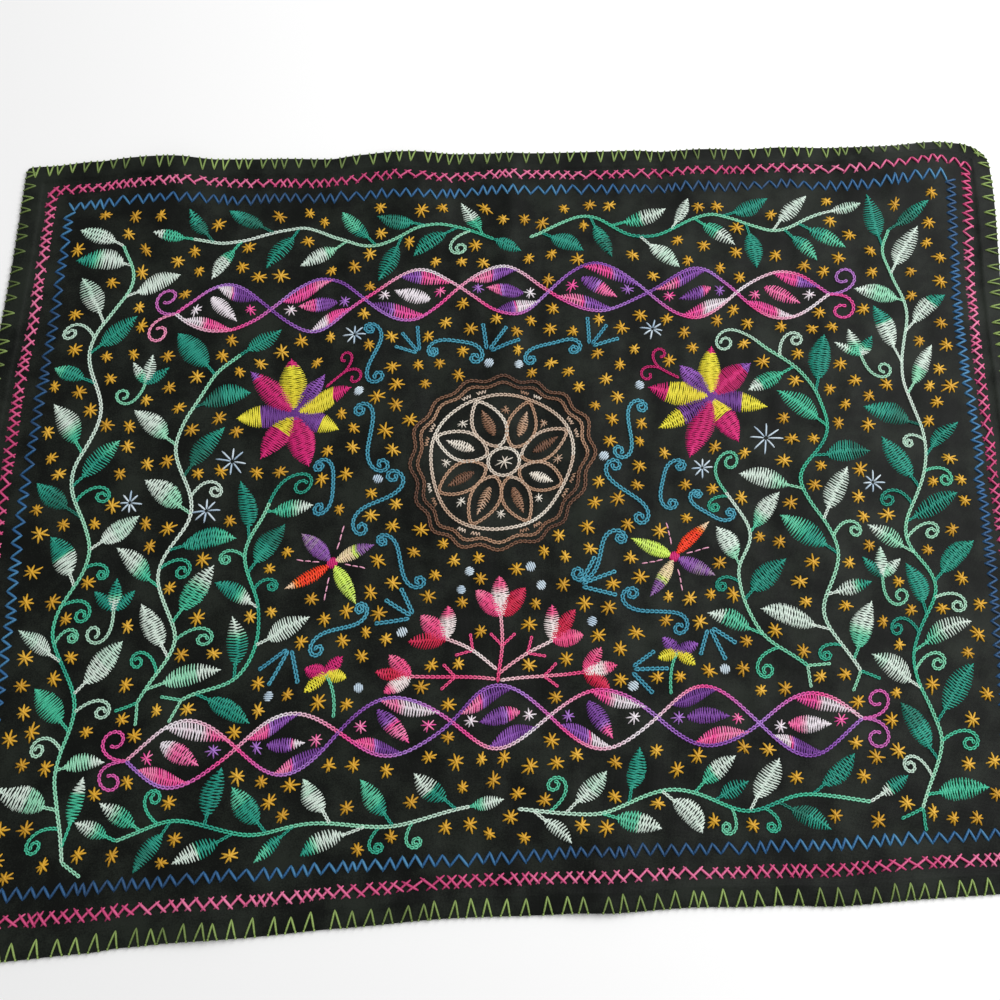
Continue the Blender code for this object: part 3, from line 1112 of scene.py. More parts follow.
# Its petals and the seeds in them: where they start and how long they are
PETAL_STARTS = 0.20
PETAL_LENGTH = 0.58
PETAL_WIDTH = 0.0235
PETAL_DYE = 0.3
SEED_STARTS = 0.34
SEED_SIZE = (0.0225, 0.0090)
SEED_TONES = (0.12, 0.62, 0.34, 0.97)
STARS_OUT = 0.63
PETAL_STAR = 0.0085
PETAL_STAR_THREAD = 0.0009
MIDDLE_STAR = 0.013
Ring = namedtuple("Ring", "radius scallop low high")
ROSETTE_RINGS = (
    Ring(1.00, 0.030, 0.00, 0.30),
    Ring(0.925, 0.026, 0.05, 0.60),
    Ring(0.80, 0.0, 0.70, 1.00),
    Ring(0.17, 0.0, 0.85, 1.00),
)


class CLOTH_OT_rosette(bpy.types.Operator):
    """Work the round rosette in brown, tan and cream"""

    bl_idname = "cloth.rosette"
    bl_label = "Rosette"

    def execute(self, context):
        rng = np.random.default_rng(SEED + 4)
        step = context.scene.stitch_sizes.chain_step
        rings, fill = Skein(), Skein()
        turn = np.linspace(0, 2 * math.pi, 240)
        for ring in ROSETTE_RINGS:
            radius = ROSETTE_RADIUS * ring.radius * (1 + ring.scallop * np.cos(2 * ROSETTE_PETALS * turn))
            path = evenly(ROSETTE_PLACE + polar(turn, radius), step)
            rings.chain(path, cycling(path, step, ROSETTE_DYE, rng.uniform(), ring.low, ring.high))
        for i in range(ROSETTE_PETALS * 4):
            if i % 4 in (1, 2):
                heading = 2 * math.pi * (i + 0.5) / (ROSETTE_PETALS * 4)
                knees = np.linspace(-NOTCH_HALF_TURN, NOTCH_HALF_TURN, 7) + heading
                deep = ROSETTE_RADIUS * (NOTCH + NOTCH_HEIGHT * (-1.0) ** np.arange(7))
                line = ROSETTE_PLACE + polar(knees, deep)
                tone = rng.uniform(0.45, 0.95)
                rings.strokes(line[:-1], line[1:], tone, width=NOTCH_THREAD, rise=NOTCH_RISE)
        for i in range(ROSETTE_PETALS):
            heading = 2 * math.pi * i / ROSETTE_PETALS + math.pi / 8
            out = unit(heading) * ROSETTE_RADIUS
            base = ROSETTE_PLACE + out * PETAL_STARTS
            petal = Leaf(base, heading, ROSETTE_RADIUS * PETAL_LENGTH, PETAL_WIDTH)
            t = np.linspace(0, 1, 40)
            edge = np.concatenate([petal.place(t, np.ones(40)), petal.place(t[::-1], -np.ones(40))])
            edge = evenly(edge, step)
            rings.chain(edge, cycling(edge, step, PETAL_DYE, rng.uniform(), 0.55, 1.0))
            seed = Leaf(ROSETTE_PLACE + out * SEED_STARTS, heading, *SEED_SIZE)
            tone = SEED_TONES[i % len(SEED_TONES)]
            meshed_leaf(fill, seed, changing(tone, tone + 0.08, 0.5, 0.3, rng), rng)
            aside = ROSETTE_PLACE + unit(heading + math.pi / 8) * ROSETTE_RADIUS * STARS_OUT
            star(fill, aside, PETAL_STAR, rng.choice((0.55, 0.7, 0.98)), rng, width=PETAL_STAR_THREAD)
        star(fill, ROSETTE_PLACE, MIDDLE_STAR, 0.96, rng)
        for share in (0.25, 0.5, 0.75, 1.0):
            mark(disc(ROSETTE_PLACE, ROSETTE_RADIUS * share))
        sew("rosette_rings", rings, "brown", SEED + 4)
        sew("rosette_leaves", fill, "brown", SEED + 5)
        return {"FINISHED"}


# The twining ribbons: two strands that cross again and again, one ribbon far and one near
RIBBON_LEVELS = (0.170, -0.172)
RIBBON_END = 0.2625
RIBBON_CELLS = 7
RIBBON_HALF = 0.0215
RIBBON_SWAY = 0.006
RIBBON_DYE = 0.30
RIBBON_TAIL_BENDS = (20, 210)
RIBBON_TAIL_LINKS = 17
# What fills a cell of a ribbon: a crescent at each strand, a leaf and two small stars
CRESCENT_LENGTH = 0.042
CRESCENT_WIDTH = 0.0125
CRESCENT_SHIFT = 0.010
CRESCENT_SLANT = (0.0012, 0.0)
CRESCENT_TONES = (0.06, 0.22, 0.72, 0.76, 0.80, 0.98)
RIBBON_LEAF_SIZES = ((0.033, 0.0130), (0.029, 0.0115), (0.025, 0.0100), (0.020, 0.0085))
RIBBON_LEAF_TONES = (0.12, 0.78, 0.78, 1.0)
RIBBON_LEAF_TRIES = 8
RIBBON_LEAF_MARGIN = 0.0012
RIBBON_STAR = 0.0102
RIBBON_STAR_THREAD = 0.00125
RIBBON_STAR_TONES = (0.4, 0.76, 1.0)
RIBBON_STAR_SPACE = 0.0045
RIBBON_STAR_ROOM = 0.008
RIBBON_STARS_OUT = 0.30


def ribbon_strand(level, hand, along):
    """The places of one strand of a ribbon."""
    turn = (along + RIBBON_END) / (2 * RIBBON_END)
    middle = level + RIBBON_SWAY * np.sin(math.pi * (2 * turn - 0.5))
    return np.stack([along, middle + hand * RIBBON_HALF * np.sin(math.pi * RIBBON_CELLS * turn)], axis=-1)


class CLOTH_OT_ribbons(bpy.types.Operator):
    """Work the two twining ribbons, with the leaves and stars inside them"""

    bl_idname = "cloth.ribbons"
    bl_label = "Ribbons"

    def execute(self, context):
        rng = np.random.default_rng(SEED + 6)
        outline, fill = Skein(), Skein()
        for level in RIBBON_LEVELS:
            for hand in (-1, 1):
                self.strand(outline, level, hand, context.scene.stitch_sizes.chain_step, rng)
            for i in range(RIBBON_CELLS):
                self.cell(outline, fill, level, 2 * RIBBON_END / RIBBON_CELLS, i + 0.5, rng)
            along = np.linspace(-RIBBON_END, RIBBON_END, 500)
            reach = abs(np.sin(math.pi * RIBBON_CELLS * (along + RIBBON_END) / (2 * RIBBON_END)))
            for share in np.linspace(-0.95, 0.95, 25):
                inside = ribbon_strand(level, 0, along)
                inside[:, 1] += share * RIBBON_HALF * reach
                mark(inside)
        sew("ribbon_outline", outline, "violet", SEED + 6)
        sew("ribbon_leaves", fill, "violet", SEED + 7)
        return {"FINISHED"}

    def strand(self, skein, level, hand, step, rng):
        """Works one strand in chain stitch, with a curling tail at both its ends."""
        path = evenly(ribbon_strand(level, hand, np.linspace(-RIBBON_END, RIBBON_END, 400)), step)
        skein.chain(path, cycling(path, step, RIBBON_DYE, rng.uniform(), 0.1, 1.0, lightness=0.75))
        for end in (-1, 1):
            bends = -hand * end * np.linspace(*RIBBON_TAIL_BENDS, RIBBON_TAIL_LINKS)
            tail = curl((end * RIBBON_END, path[0, 1]), 0.0 if end > 0 else math.pi, bends, step)
            skein.chain(tail, 0.5 + 0.4 * rng.uniform(), size=0.9)

    def cell(self, outline, fill, level, length, place, rng):
        """Fills the space between two crossings."""
        middle = -RIBBON_END + length * place
        for hand in (-1, 1):
            first, last = rng.choice(CRESCENT_TONES, 2)
            shade = changing(first, last, rng.uniform(0.35, 0.65), 0.1, rng)
            self.crescent(outline, level, hand, middle + hand * CRESCENT_SHIFT, shade, rng)
        heart = ribbon_strand(level, 0, np.array([middle]))[0]
        self.inner_leaf(fill, heart, rng)
        for hand in (-1, 1):
            near = heart + (hand * RIBBON_STARS_OUT * length, 0.0)
            found = room_for(disc((0.0, 0.0), RIBBON_STAR_SPACE), near, RIBBON_STAR_ROOM, rng)
            if found is not None:
                tone = rng.choice(RIBBON_STAR_TONES)
                star(fill, found, RIBBON_STAR, tone, rng, width=RIBBON_STAR_THREAD)

    def crescent(self, skein, level, hand, middle, shade, rng):
        """Fills the space between a strand, near its crest, and an arc inside the ribbon."""
        count = int(CRESCENT_LENGTH / bpy.context.scene.stitch_sizes.satin_pitch)
        length = CRESCENT_LENGTH * rng.uniform(0.85, 1.1)
        width = CRESCENT_WIDTH * rng.uniform(0.85, 1.1)
        for start, end, shift in ((0.0, 0.66, 0.25), (1.0, 0.34, 0.75)):
            t = (np.arange(count) + shift + rng.uniform(-0.12, 0.12, count)) / count
            along = middle + (t - 0.5) * length
            strand, centre = ribbon_strand(level, hand, along), ribbon_strand(level, 0, along)
            inward = np.sign(centre - strand) * (0, 1) * width * np.sin(math.pi * t**0.9)[:, None]
            skein.strokes(strand + start * inward, strand + end * inward + CRESCENT_SLANT, shade(t))

    def inner_leaf(self, skein, heart, rng):
        """Works the largest leaf that fits between the crescents of one cell."""
        for size in RIBBON_LEAF_SIZES:
            for _ in range(RIBBON_LEAF_TRIES):
                tilt = rng.uniform(-1.1, 0.2) + rng.choice((0.0, math.pi))
                leaf = Leaf(heart - unit(tilt) * size[0] / 2, tilt, *size)
                if free(leaf.filled(RIBBON_LEAF_MARGIN)):
                    first, last = rng.choice(RIBBON_LEAF_TONES, 2)
                    shade = changing(first, last, rng.uniform(0.3, 0.7), 0.15, rng)
                    meshed_leaf(skein, leaf, shade, rng)
                    return


# The large star flowers: one row for each petal, with its heading in degrees from +X and its dyes
Petal = namedtuple("Petal", "heading length width inner outer change")
STAR_FLOWER = (
    Petal(97, 0.042, 0.0215, "yellow", "magenta", 0.88),
    Petal(56, 0.035, 0.0185, "violet", "violet", 1.1),
    Petal(14, 0.044, 0.0205, "yellow", "magenta", 0.70),
    Petal(-31, 0.039, 0.0175, "violet", "yellow", 0.58),
    Petal(-74, 0.044, 0.0225, "magenta", "magenta", 1.1),
    Petal(-121, 0.040, 0.0200, "yellow", "magenta", 0.40),
    Petal(-170, 0.044, 0.0200, "violet", "yellow", 0.56),
    Petal(139, 0.042, 0.0215, "magenta", "violet", 0.86),
)
STAR_FLOWER_PLACES = ((-0.163, 0.080), (0.161, 0.077))
PETAL_BASE = 0.003
PETAL_CLOSENESS = 1.25
PETAL_MARGIN = 0.001
STAR_FLOWER_HEART = (0.015, 0.013)
# The feeler of a star flower: its two places, as a distance and a heading in degrees, and its arms
FEELER = ((0.030, 38), (0.047, 36))
FEELER_STEP = 0.0030
FEELER_ARM_STEP = 0.0024
FEELER_BENDS = np.linspace(0, 330, 13)
# The small flowers, whose dyes are tones of one thread, each with its place, its turn in degrees
# and how many petals on its dyes are moved
SMALL_FLOWER = (
    Petal(128, 0.033, 0.0120, 0.99, 0.96, 0.5),
    Petal(20, 0.033, 0.0112, 0.52, 0.98, 0.55),
    Petal(-52, 0.034, 0.0122, 0.74, 0.77, 0.5),
    Petal(-152, 0.032, 0.0122, 0.03, 0.48, 0.78),
)
SmallFlower = namedtuple("SmallFlower", "a b turn dyes_on")
SMALL_FLOWERS = (SmallFlower(-0.127, -0.046, 0, 0), SmallFlower(0.129, -0.050, 24, 2))
FLOWER_HEART = 0.0086
# The dashes between its petals: where each begins and ends, out from its middle
DASHES = np.array([0.0100, 0.0158, 0.0166, 0.0215, 0.0223, 0.0275])
DASH_TONE = 0.86
DASH_STRAY = 0.0003
DASH_THREAD = 0.0011
DASH_RISE = 0.0004
DYE_TONE = {"magenta": 0.7, "yellow": 0.7, "violet": 0.10}

# The knots of four lobes: place, turn in degrees, and the dye of the upper two lobes
Knot = namedtuple("Knot", "a b turn dye")
KNOTS = (Knot(-0.126, -0.128, 12, "magenta"), Knot(0.131, -0.124, -14, "violet"))
KNOT_LOBES = (32, 148, 208, 332)
KNOT_LENGTH = 0.0165
KNOT_WIDTH = 0.0112
KNOT_STEM = 0.036
KNOT_STEM_BEND = 22
KNOT_STEM_TURN = 0.7


def petal_shade(dye, rng):
    """A shade round the tone that a dye has in the flowers."""
    return changing(DYE_TONE[dye] - 0.15, DYE_TONE[dye] + 0.15, 0.5, 0.3, rng, noise=0.06)


def petal(skein, leaf, shade, rng):
    """Fills a petal closely and keeps its place for it."""
    meshed_leaf(skein, leaf, shade, rng, closeness=PETAL_CLOSENESS)
    mark(leaf.filled(PETAL_MARGIN))


class CLOTH_OT_flowers(bpy.types.Operator):
    """Work the large star flowers, the small flowers of four petals and the knots"""

    bl_idname = "cloth.flowers"
    bl_label = "Flowers"

    def execute(self, context):
        rng = np.random.default_rng(SEED + 8)
        skeins = {"magenta": Skein(), "yellow": Skein(), "violet": Skein(), "flame": Skein()}
        for hand, middle in zip((1, -1), STAR_FLOWER_PLACES):
            self.star_flower(skeins, hand, middle, rng)
        for knot in KNOTS:
            for lobe, turn in enumerate(KNOT_LOBES):
                heading = math.radians(turn + knot.turn)
                leaf = Leaf((knot.a, knot.b), heading, KNOT_LENGTH, KNOT_WIDTH, point=LOBE_POINT)
                dye = knot.dye if lobe < 2 else "yellow"
                petal(skeins[dye], leaf, petal_shade(dye, rng), rng)
        for flower in SMALL_FLOWERS:
            self.small_flower(skeins, flower, rng)
        sew("petals_magenta", skeins["magenta"], "magenta", SEED + 8)
        sew("petals_yellow", skeins["yellow"], "yellow", SEED + 9)
        sew("petals_violet", skeins["violet"], "violet", SEED + 10)
        sew("small_flowers", skeins["flame"], "flame", SEED + 11)
        return {"FINISHED"}

    def star_flower(self, skeins, hand, middle, rng):
        """Works a star flower, or for the hand -1 its like, mirrored, with its feeler."""
        for row in STAR_FLOWER:
            heading = math.radians(row.heading if hand > 0 else 180 - row.heading)
            heading += rng.uniform(-0.06, 0.06)
            size = rng.uniform(0.93, 1.05)
            leaf = Leaf(middle + unit(heading) * PETAL_BASE, heading, row.length * size, row.width)
            for dye, span in ((row.inner, (0.0, row.change)), (row.outer, (row.change, 1.0))):
                if span[0] < 1.0:
                    meshed_leaf(skeins[dye], leaf, petal_shade(dye, rng), rng, span, PETAL_CLOSENESS)
            mark(leaf.filled(PETAL_MARGIN))
        spot(skeins["violet"], np.asarray(middle), *STAR_FLOWER_HEART, 0.06, rng)
        feeler = np.array([unit(math.radians(turn)) * far * (hand, 1) for far, turn in FEELER]) + middle
        skeins["magenta"].chain(evenly(feeler, FEELER_STEP), 0.6, size=0.85)
        for way in (-1, 1):
            heading = heading_of(feeler, 0) + 0.4 * way
            arm = curl(feeler[-1], heading, way * FEELER_BENDS, FEELER_ARM_STEP)
            skeins["magenta"].chain(arm, 0.5, size=0.8)

    def small_flower(self, skeins, flower, rng):
        """Works a small flower of four petals, with dashes between them."""
        middle = np.array([flower.a, flower.b])
        for i, row in enumerate(SMALL_FLOWER):
            heading = math.radians(row.heading + flower.turn) + rng.uniform(-0.08, 0.08)
            leaf = Leaf(middle + unit(heading) * PETAL_BASE, heading, row.length, row.width)
            dyes = SMALL_FLOWER[(i + flower.dyes_on) % len(SMALL_FLOWER)]
            petal(skeins["flame"], leaf, changing(dyes.inner, dyes.outer, dyes.change, 0.12, rng), rng)
            gap = (row.heading - SMALL_FLOWER[(i + 1) % len(SMALL_FLOWER)].heading) % 360
            between = math.radians(row.heading + flower.turn - gap / 2) + rng.uniform(-0.1, 0.1)
            places = middle + DASHES[:, None] * unit(between)
            places = places + rng.uniform(-DASH_STRAY, DASH_STRAY, (len(DASHES), 2))
            starts, ends = places[::2], places[1::2]
            skeins["violet"].strokes(starts, ends, DASH_TONE, width=DASH_THREAD, rise=DASH_RISE)
        spot(skeins["magenta"], middle, FLOWER_HEART, FLOWER_HEART, 0.85, rng)


# The tulips: where each stem starts and its bloom sits, and the bloom's heading in degrees and size
Tulip = namedtuple("Tulip", "start bend_to bloom heading size")
TULIPS = (
    Tulip((0.000, -0.142), (0.002, -0.118), (0.000, -0.092), 90, 1.0),
    Tulip((0.001, -0.136), (0.020, -0.120), (0.038, -0.110), 47, 0.92),
    Tulip((-0.001, -0.133), (-0.020, -0.118), (-0.040, -0.107), 134, 0.92),
    Tulip((0.002, -0.141), (0.030, -0.137), (0.062, -0.134), 9, 0.80),
    Tulip((-0.002, -0.140), (-0.030, -0.136), (-0.063, -0.131), 172, 0.80),
)
TULIP_PETALS = ((-42, 0.027, 0.0150), (42, 0.027, 0.0150), (0, 0.030, 0.0150))
TULIP_TONES = ((0.02, 0.10), (0.46, 0.55), (0.98, 0.50))
TULIP_DYE = 0.16
THORN_LENGTH = 0.013


class CLOTH_OT_tulips(bpy.types.Operator):
    """Work the spray of tulips in crimson, pink and white"""

    bl_idname = "cloth.tulips"
    bl_label = "Tulips"

    def execute(self, context):
        rng = np.random.default_rng(SEED + 12)
        step = context.scene.stitch_sizes.chain_step
        skein = Skein()
        for count, tulip in enumerate(TULIPS):
            stem = smooth_path((tulip.start, tulip.bend_to, tulip.bloom), step)
            skein.chain(stem, cycling(stem, step, TULIP_DYE, 0.2 * count, 0.4, 1.0), size=0.95)
            middle = len(stem) // 2
            for hand in (-1, 1):
                side = unit(heading_of(stem, middle) + hand * 0.75)
                thorn = straight(stem[middle], stem[middle] + side * THORN_LENGTH, step)
                if free(thorn[2:]):
                    skein.chain(thorn, 0.5, size=0.8)
            for i, (turn, length, width) in enumerate(TULIP_PETALS):
                heading, size = math.radians(tulip.heading + turn), tulip.size
                leaf = Leaf(tulip.bloom, heading, length * size, width * size, point=LOBE_POINT)
                tones = TULIP_TONES[(i + count) % len(TULIP_TONES)]
                petal(skein, leaf, changing(*tones, 0.7, 0.15, rng), rng)
        sew("tulips", skein, "crimson", SEED + 12)
        return {"FINISHED"}


# The leafy vines of the left half; the right half mirrors them, as a hand would, not exactly
Vine = namedtuple("Vine", "name leaf_length leaf_every route")
VINES = (
    Vine("border", 0.0370, 0.0275, (
        (-0.298, -0.240), (-0.322, -0.195), (-0.307, -0.140), (-0.326, -0.085), (-0.310, -0.030),
        (-0.328, 0.030), (-0.312, 0.085), (-0.326, 0.140), (-0.306, 0.190), (-0.318, 0.224),
    )),
    Vine("inner", 0.0375, 0.0285, (
        (-0.262, -0.136), (-0.240, -0.098), (-0.254, -0.048), (-0.236, 0.000), (-0.249, 0.048),
        (-0.232, 0.095), (-0.206, 0.126),
    )),
    Vine("low", 0.0355, 0.0275, (
        (-0.224, -0.140), (-0.192, -0.116), (-0.178, -0.076), (-0.189, -0.034), (-0.172, 0.006),
    )),
    Vine("far", 0.0310, 0.0225, (
        (-0.016, 0.224), (-0.066, 0.236), (-0.116, 0.222), (-0.166, 0.236), (-0.216, 0.222),
        (-0.262, 0.234),
    )),
    Vine("near", 0.0315, 0.0225, (
        (-0.020, -0.226), (-0.070, -0.237), (-0.120, -0.223), (-0.170, -0.238), (-0.220, -0.225),
        (-0.258, -0.236),
    )),
)
VINE_WANDER = 0.0036
VINE_MARGIN = 0.006
VINE_DYE = 0.42

# The sprigs of the left half, mirrored on the right: place and heading in degrees, and for each
# of their leaves its turn and its length
Sprig = namedtuple("Sprig", "a b heading")
SPRIGS = (Sprig(-0.283, -0.072, 96), Sprig(-0.280, 0.108, 78), Sprig(-0.152, -0.112, 104))
SPRIG_LENGTH = 0.058
SPRIG_LEAVES = ((0.80, 0.021), (-0.80, 0.021), (0.0, 0.024))
SPRIG_ROOM = 0.014
# Tendrils are common on the near side of a level on the cloth, and rare beyond it
TENDRIL_LEVEL = 0.020
TENDRIL_CHANCE_NEAR = 0.85
TENDRIL_CHANCE_FAR = 0.15
TENDRIL_TRIES = ((1, 0.85), (-1, 0.85), (1, 0.65), (-1, 0.65))
TENDRIL_MARGIN = 0.0022
TENDRIL_STEP = 0.0030
TENDRIL_LENGTH = 0.066
TENDRIL_BEND = 290
TENDRIL_TURN = 0.9
# What a vine ends in and what it begins with
END_TENDRIL = 1.15
END_LEAF = 0.8
END_LEAF_TURNS = (0.0, 0.75, -0.75)
END_STALK = 0.008
FOOT_STALK = 0.002
ROOT_LENGTH = 0.016
ROOT_TURN = 0.7
# The leaves: the stalks, angles in degrees, sizes and pairs of tones that they may have
SECOND_LEAF_CHANCE = 0.35
LEAF_STEMS = (0.010, 0.006, 0.014)
LEAF_ANGLES = (54, 42, 66, 30, 78)
LEAF_SIZES = (1.0, 0.88, 0.75)
LEAF_BREADTH = 0.47
STALK_IN_LEAF = 0.002
LEAF_MARGIN = 0.0026
LEAF_DYES = (
    (0.05, 0.30), (0.25, 0.25), (0.30, 0.55), (0.50, 0.50), (0.50, 0.98), (0.98, 0.28), (0.75, 0.98),
    (0.28, 0.98), (0.98, 0.98), (0.30, 0.10), (0.55, 0.98), (0.28, 0.28), (0.98, 0.90),
)


def tendril_path(start, heading, way, length, size=1.0):
    """A path that curls to one side, more and more tightly."""
    bends = way * TENDRIL_BEND / size * np.linspace(0.06, 1, int(length / TENDRIL_STEP)) ** 1.4
    return curl(start, heading, bends, TENDRIL_STEP)


class CLOTH_OT_vines(bpy.types.Operator):
    """Work the leafy vines with their tendrils, the sprigs and the stems of the knots"""

    bl_idname = "cloth.vines"
    bl_label = "Vines and leaves"

    def execute(self, context):
        rng = np.random.default_rng(SEED + 14)
        step = context.scene.stitch_sizes.chain_step
        stems, leaves = Skein(), Skein()
        grown = [(vine, self.stem(stems, vine, hand, step, rng)) for hand in (-1, 1) for vine in VINES]
        for hand in (-1, 1):
            for sprig in SPRIGS:
                heading = math.pi / 2 - hand * (math.radians(sprig.heading) - math.pi / 2)
                self.sprig(stems, leaves, mirrored(hand, sprig.a, sprig.b), heading, hand, rng)
        for knot in KNOTS:
            way = math.copysign(1.0, knot.a)
            bends = np.full(int(KNOT_STEM / step), way * KNOT_STEM_BEND)
            stem = curl((knot.a, knot.b), -math.pi / 2 - KNOT_STEM_TURN * way, bends, step)
            if free(stem[4:]):
                stems.chain(stem, 0.3 + 0.4 * rng.uniform(), size=0.85)
        for vine, path in grown:
            self.ends(stems, leaves, vine, path, step, rng)
        for vine, path in grown:
            every = vine.leaf_every / step
            for count, i in enumerate(np.arange(3, len(path) - 2, every).astype(int)):
                side = 1 if count % 2 else -1
                self.grow(stems, leaves, vine, path, i, side, rng)
                chance = TENDRIL_CHANCE_NEAR if path[i, 1] < TENDRIL_LEVEL else TENDRIL_CHANCE_FAR
                if rng.uniform() < chance:
                    at = min(i + int(every / 2), len(path) - 2)
                    for hand, size in TENDRIL_TRIES:
                        heading = heading_of(path, at) + side * hand * TENDRIL_TURN
                        if self.tendril(stems, path[at], heading, side * hand, size, rng):
                            break
        for vine, path in grown:
            for i in range(5, len(path) - 2, int(vine.leaf_every / step)):
                if rng.uniform() < SECOND_LEAF_CHANCE:
                    self.grow(stems, leaves, vine, path, i, rng.choice((-1, 1)), rng, LEAF_SIZES[1:])
        sew("vines", stems, "leaf", SEED + 14)
        sew("leaves", leaves, "leaf", SEED + 15)
        return {"FINISHED"}

    def stem(self, stems, vine, hand, step, rng):
        """Works the stem of one vine and gives its path."""
        route = np.array(vine.route) * (-hand, 1) + rng.normal(0, VINE_WANDER, (len(vine.route), 2))
        route[:, 1] = np.clip(route[:, 1], -FIELD_B + VINE_MARGIN, FIELD_B - VINE_MARGIN)
        path = smooth_path(route, step)
        stems.chain(path, cycling(path, step, VINE_DYE, rng.uniform(), 0.25, 1.0, lightness=0.55))
        return path

    def ends(self, stems, leaves, vine, path, step, rng):
        """Works the leaves and tendril at a vine's tip, and the leaf or the roots at its foot."""
        heading = heading_of(path, len(path) - 1)
        if vine.name in ("inner", "low"):
            self.tendril(stems, path[-1], heading, rng.choice((-1, 1)), END_TENDRIL, rng)
        for turn in END_LEAF_TURNS:
            self.leaf(stems, leaves, vine, path[-1], heading + turn, END_LEAF, END_STALK, rng)
        heading = heading_of(path, 0) + math.pi
        if vine.name in ("far", "near"):
            self.leaf(stems, leaves, vine, path[0], heading, END_LEAF, FOOT_STALK, rng)
            return
        for turn in (-ROOT_TURN, ROOT_TURN):
            arm = straight(path[0], path[0] + unit(heading + turn) * ROOT_LENGTH, step)
            if free(arm[2:]):
                stems.chain(arm, 0.3 + 0.6 * rng.uniform(), size=0.85)

    def sprig(self, stems, leaves, near, heading, way, rng):
        """Works three short leaves on a curling stem near a place, if there is room for them."""
        path = tendril_path((0.0, 0.0), heading + math.pi, way, SPRIG_LENGTH)
        blades = [Leaf((0.0, 0.0), heading + turn, far, far * LEAF_BREADTH) for turn, far in SPRIG_LEAVES]
        shape = [beside(path, TENDRIL_MARGIN)] + [blade.filled(0.001) for blade in blades]
        middle = room_for(np.concatenate(shape), near, SPRIG_ROOM, rng)
        if middle is None:
            return
        stems.chain(middle + path, 0.3 + 0.6 * rng.uniform(), size=0.9)
        for blade in blades:
            blade.base = middle
            first, last = LEAF_DYES[rng.integers(len(LEAF_DYES))]
            meshed_leaf(leaves, blade, changing(first, last, 0.5, 0.2, rng), rng)
            mark(blade.filled(0.0))

    def tendril(self, stems, start, heading, way, size, rng):
        """Curls a tendril from a place if there is room for it, and says whether there was."""
        path = tendril_path(start, heading, way, TENDRIL_LENGTH * size, size)
        fits = free(beside(path[5:], TENDRIL_MARGIN))
        if fits:
            stems.chain(path, 0.25 + 0.7 * rng.uniform(), size=0.9)
        return fits

    def grow(self, stems, leaves, vine, path, i, side, rng, sizes=LEAF_SIZES):
        """Grows one leaf from a vine where there is room for it."""
        ahead = heading_of(path, i)
        for size in sizes:
            for stalk in LEAF_STEMS:
                for angle in LEAF_ANGLES:
                    heading = ahead + side * math.radians(angle + rng.uniform(-4, 4))
                    if self.leaf(stems, leaves, vine, path[i], heading, size, stalk, rng, side):
                        return

    def leaf(self, stems, leaves, vine, start, heading, size, stalk, rng, side=0):
        """Works one leaf on its stalk if there is room for it, and says whether there was."""
        length = vine.leaf_length * size * rng.uniform(0.95, 1.06)
        base = start + unit(heading) * stalk
        bend = -side * rng.uniform(0.0, 0.07)
        leaf = Leaf(base, heading, length, length * LEAF_BREADTH * rng.uniform(0.9, 1.08), bend)
        if not free(leaf.filled(LEAF_MARGIN, start=0.12)):
            return False
        first, last = LEAF_DYES[rng.integers(len(LEAF_DYES))]
        shade = changing(first, last, rng.uniform(0.3, 0.7), rng.choice((0.05, 0.2)), rng)
        step = bpy.context.scene.stitch_sizes.chain_step
        stem = straight(start, base + unit(heading) * STALK_IN_LEAF, step)
        stems.chain(stem, float(shade(0.0)), size=0.85)
        meshed_leaf(leaves, leaf, shade, rng)
        mark(leaf.filled(0.0))
        return True


# The blue scrolls and three-armed sprouts of the left half; each is mirrored on the right. A
# scroll's place is followed by its heading in degrees, its size and whether it is an S or a C
Scroll = namedtuple("Scroll", "a b heading size kind")
SCROLLS = (
    Scroll(-0.108, 0.116, 20, 1.0, "S"),
    Scroll(-0.099, 0.052, 80, 1.0, "S"),
    Scroll(-0.098, 0.004, 40, 1.0, "S"),
    Scroll(-0.136, 0.014, 100, 0.85, "C"),
    Scroll(-0.078, -0.050, 105, 0.9, "S"),
    Scroll(-0.122, -0.098, 15, 1.0, "S"),
    Scroll(-0.038, 0.122, 175, 0.85, "C"),
    Scroll(-0.150, -0.020, 60, 0.8, "C"),
)
SCROLL_LENGTH = 0.108
SCROLL_BEND = 385
SCROLL_GROWTH = 1.7
SCROLL_TRIES = 6
SCROLL_TURN = 0.15
SCROLL_LINK = 1.15
Sprout = namedtuple("Sprout", "a b heading")
SPROUTS = (
    Sprout(-0.066, 0.122, 130), Sprout(-0.014, 0.120, 60), Sprout(-0.056, -0.078, 150),
    Sprout(-0.090, -0.084, 170), Sprout(-0.150, -0.104, 250), Sprout(-0.100, -0.130, 190),
)
SPROUT_ARM = 0.026
SPROUT_GAP = 0.0035
SPROUT_TURNS = (-38, 0, 38)
SPROUT_MARGIN = 0.002
SCROLL_MARGIN = 0.0030
SCROLL_ROOM = 0.012


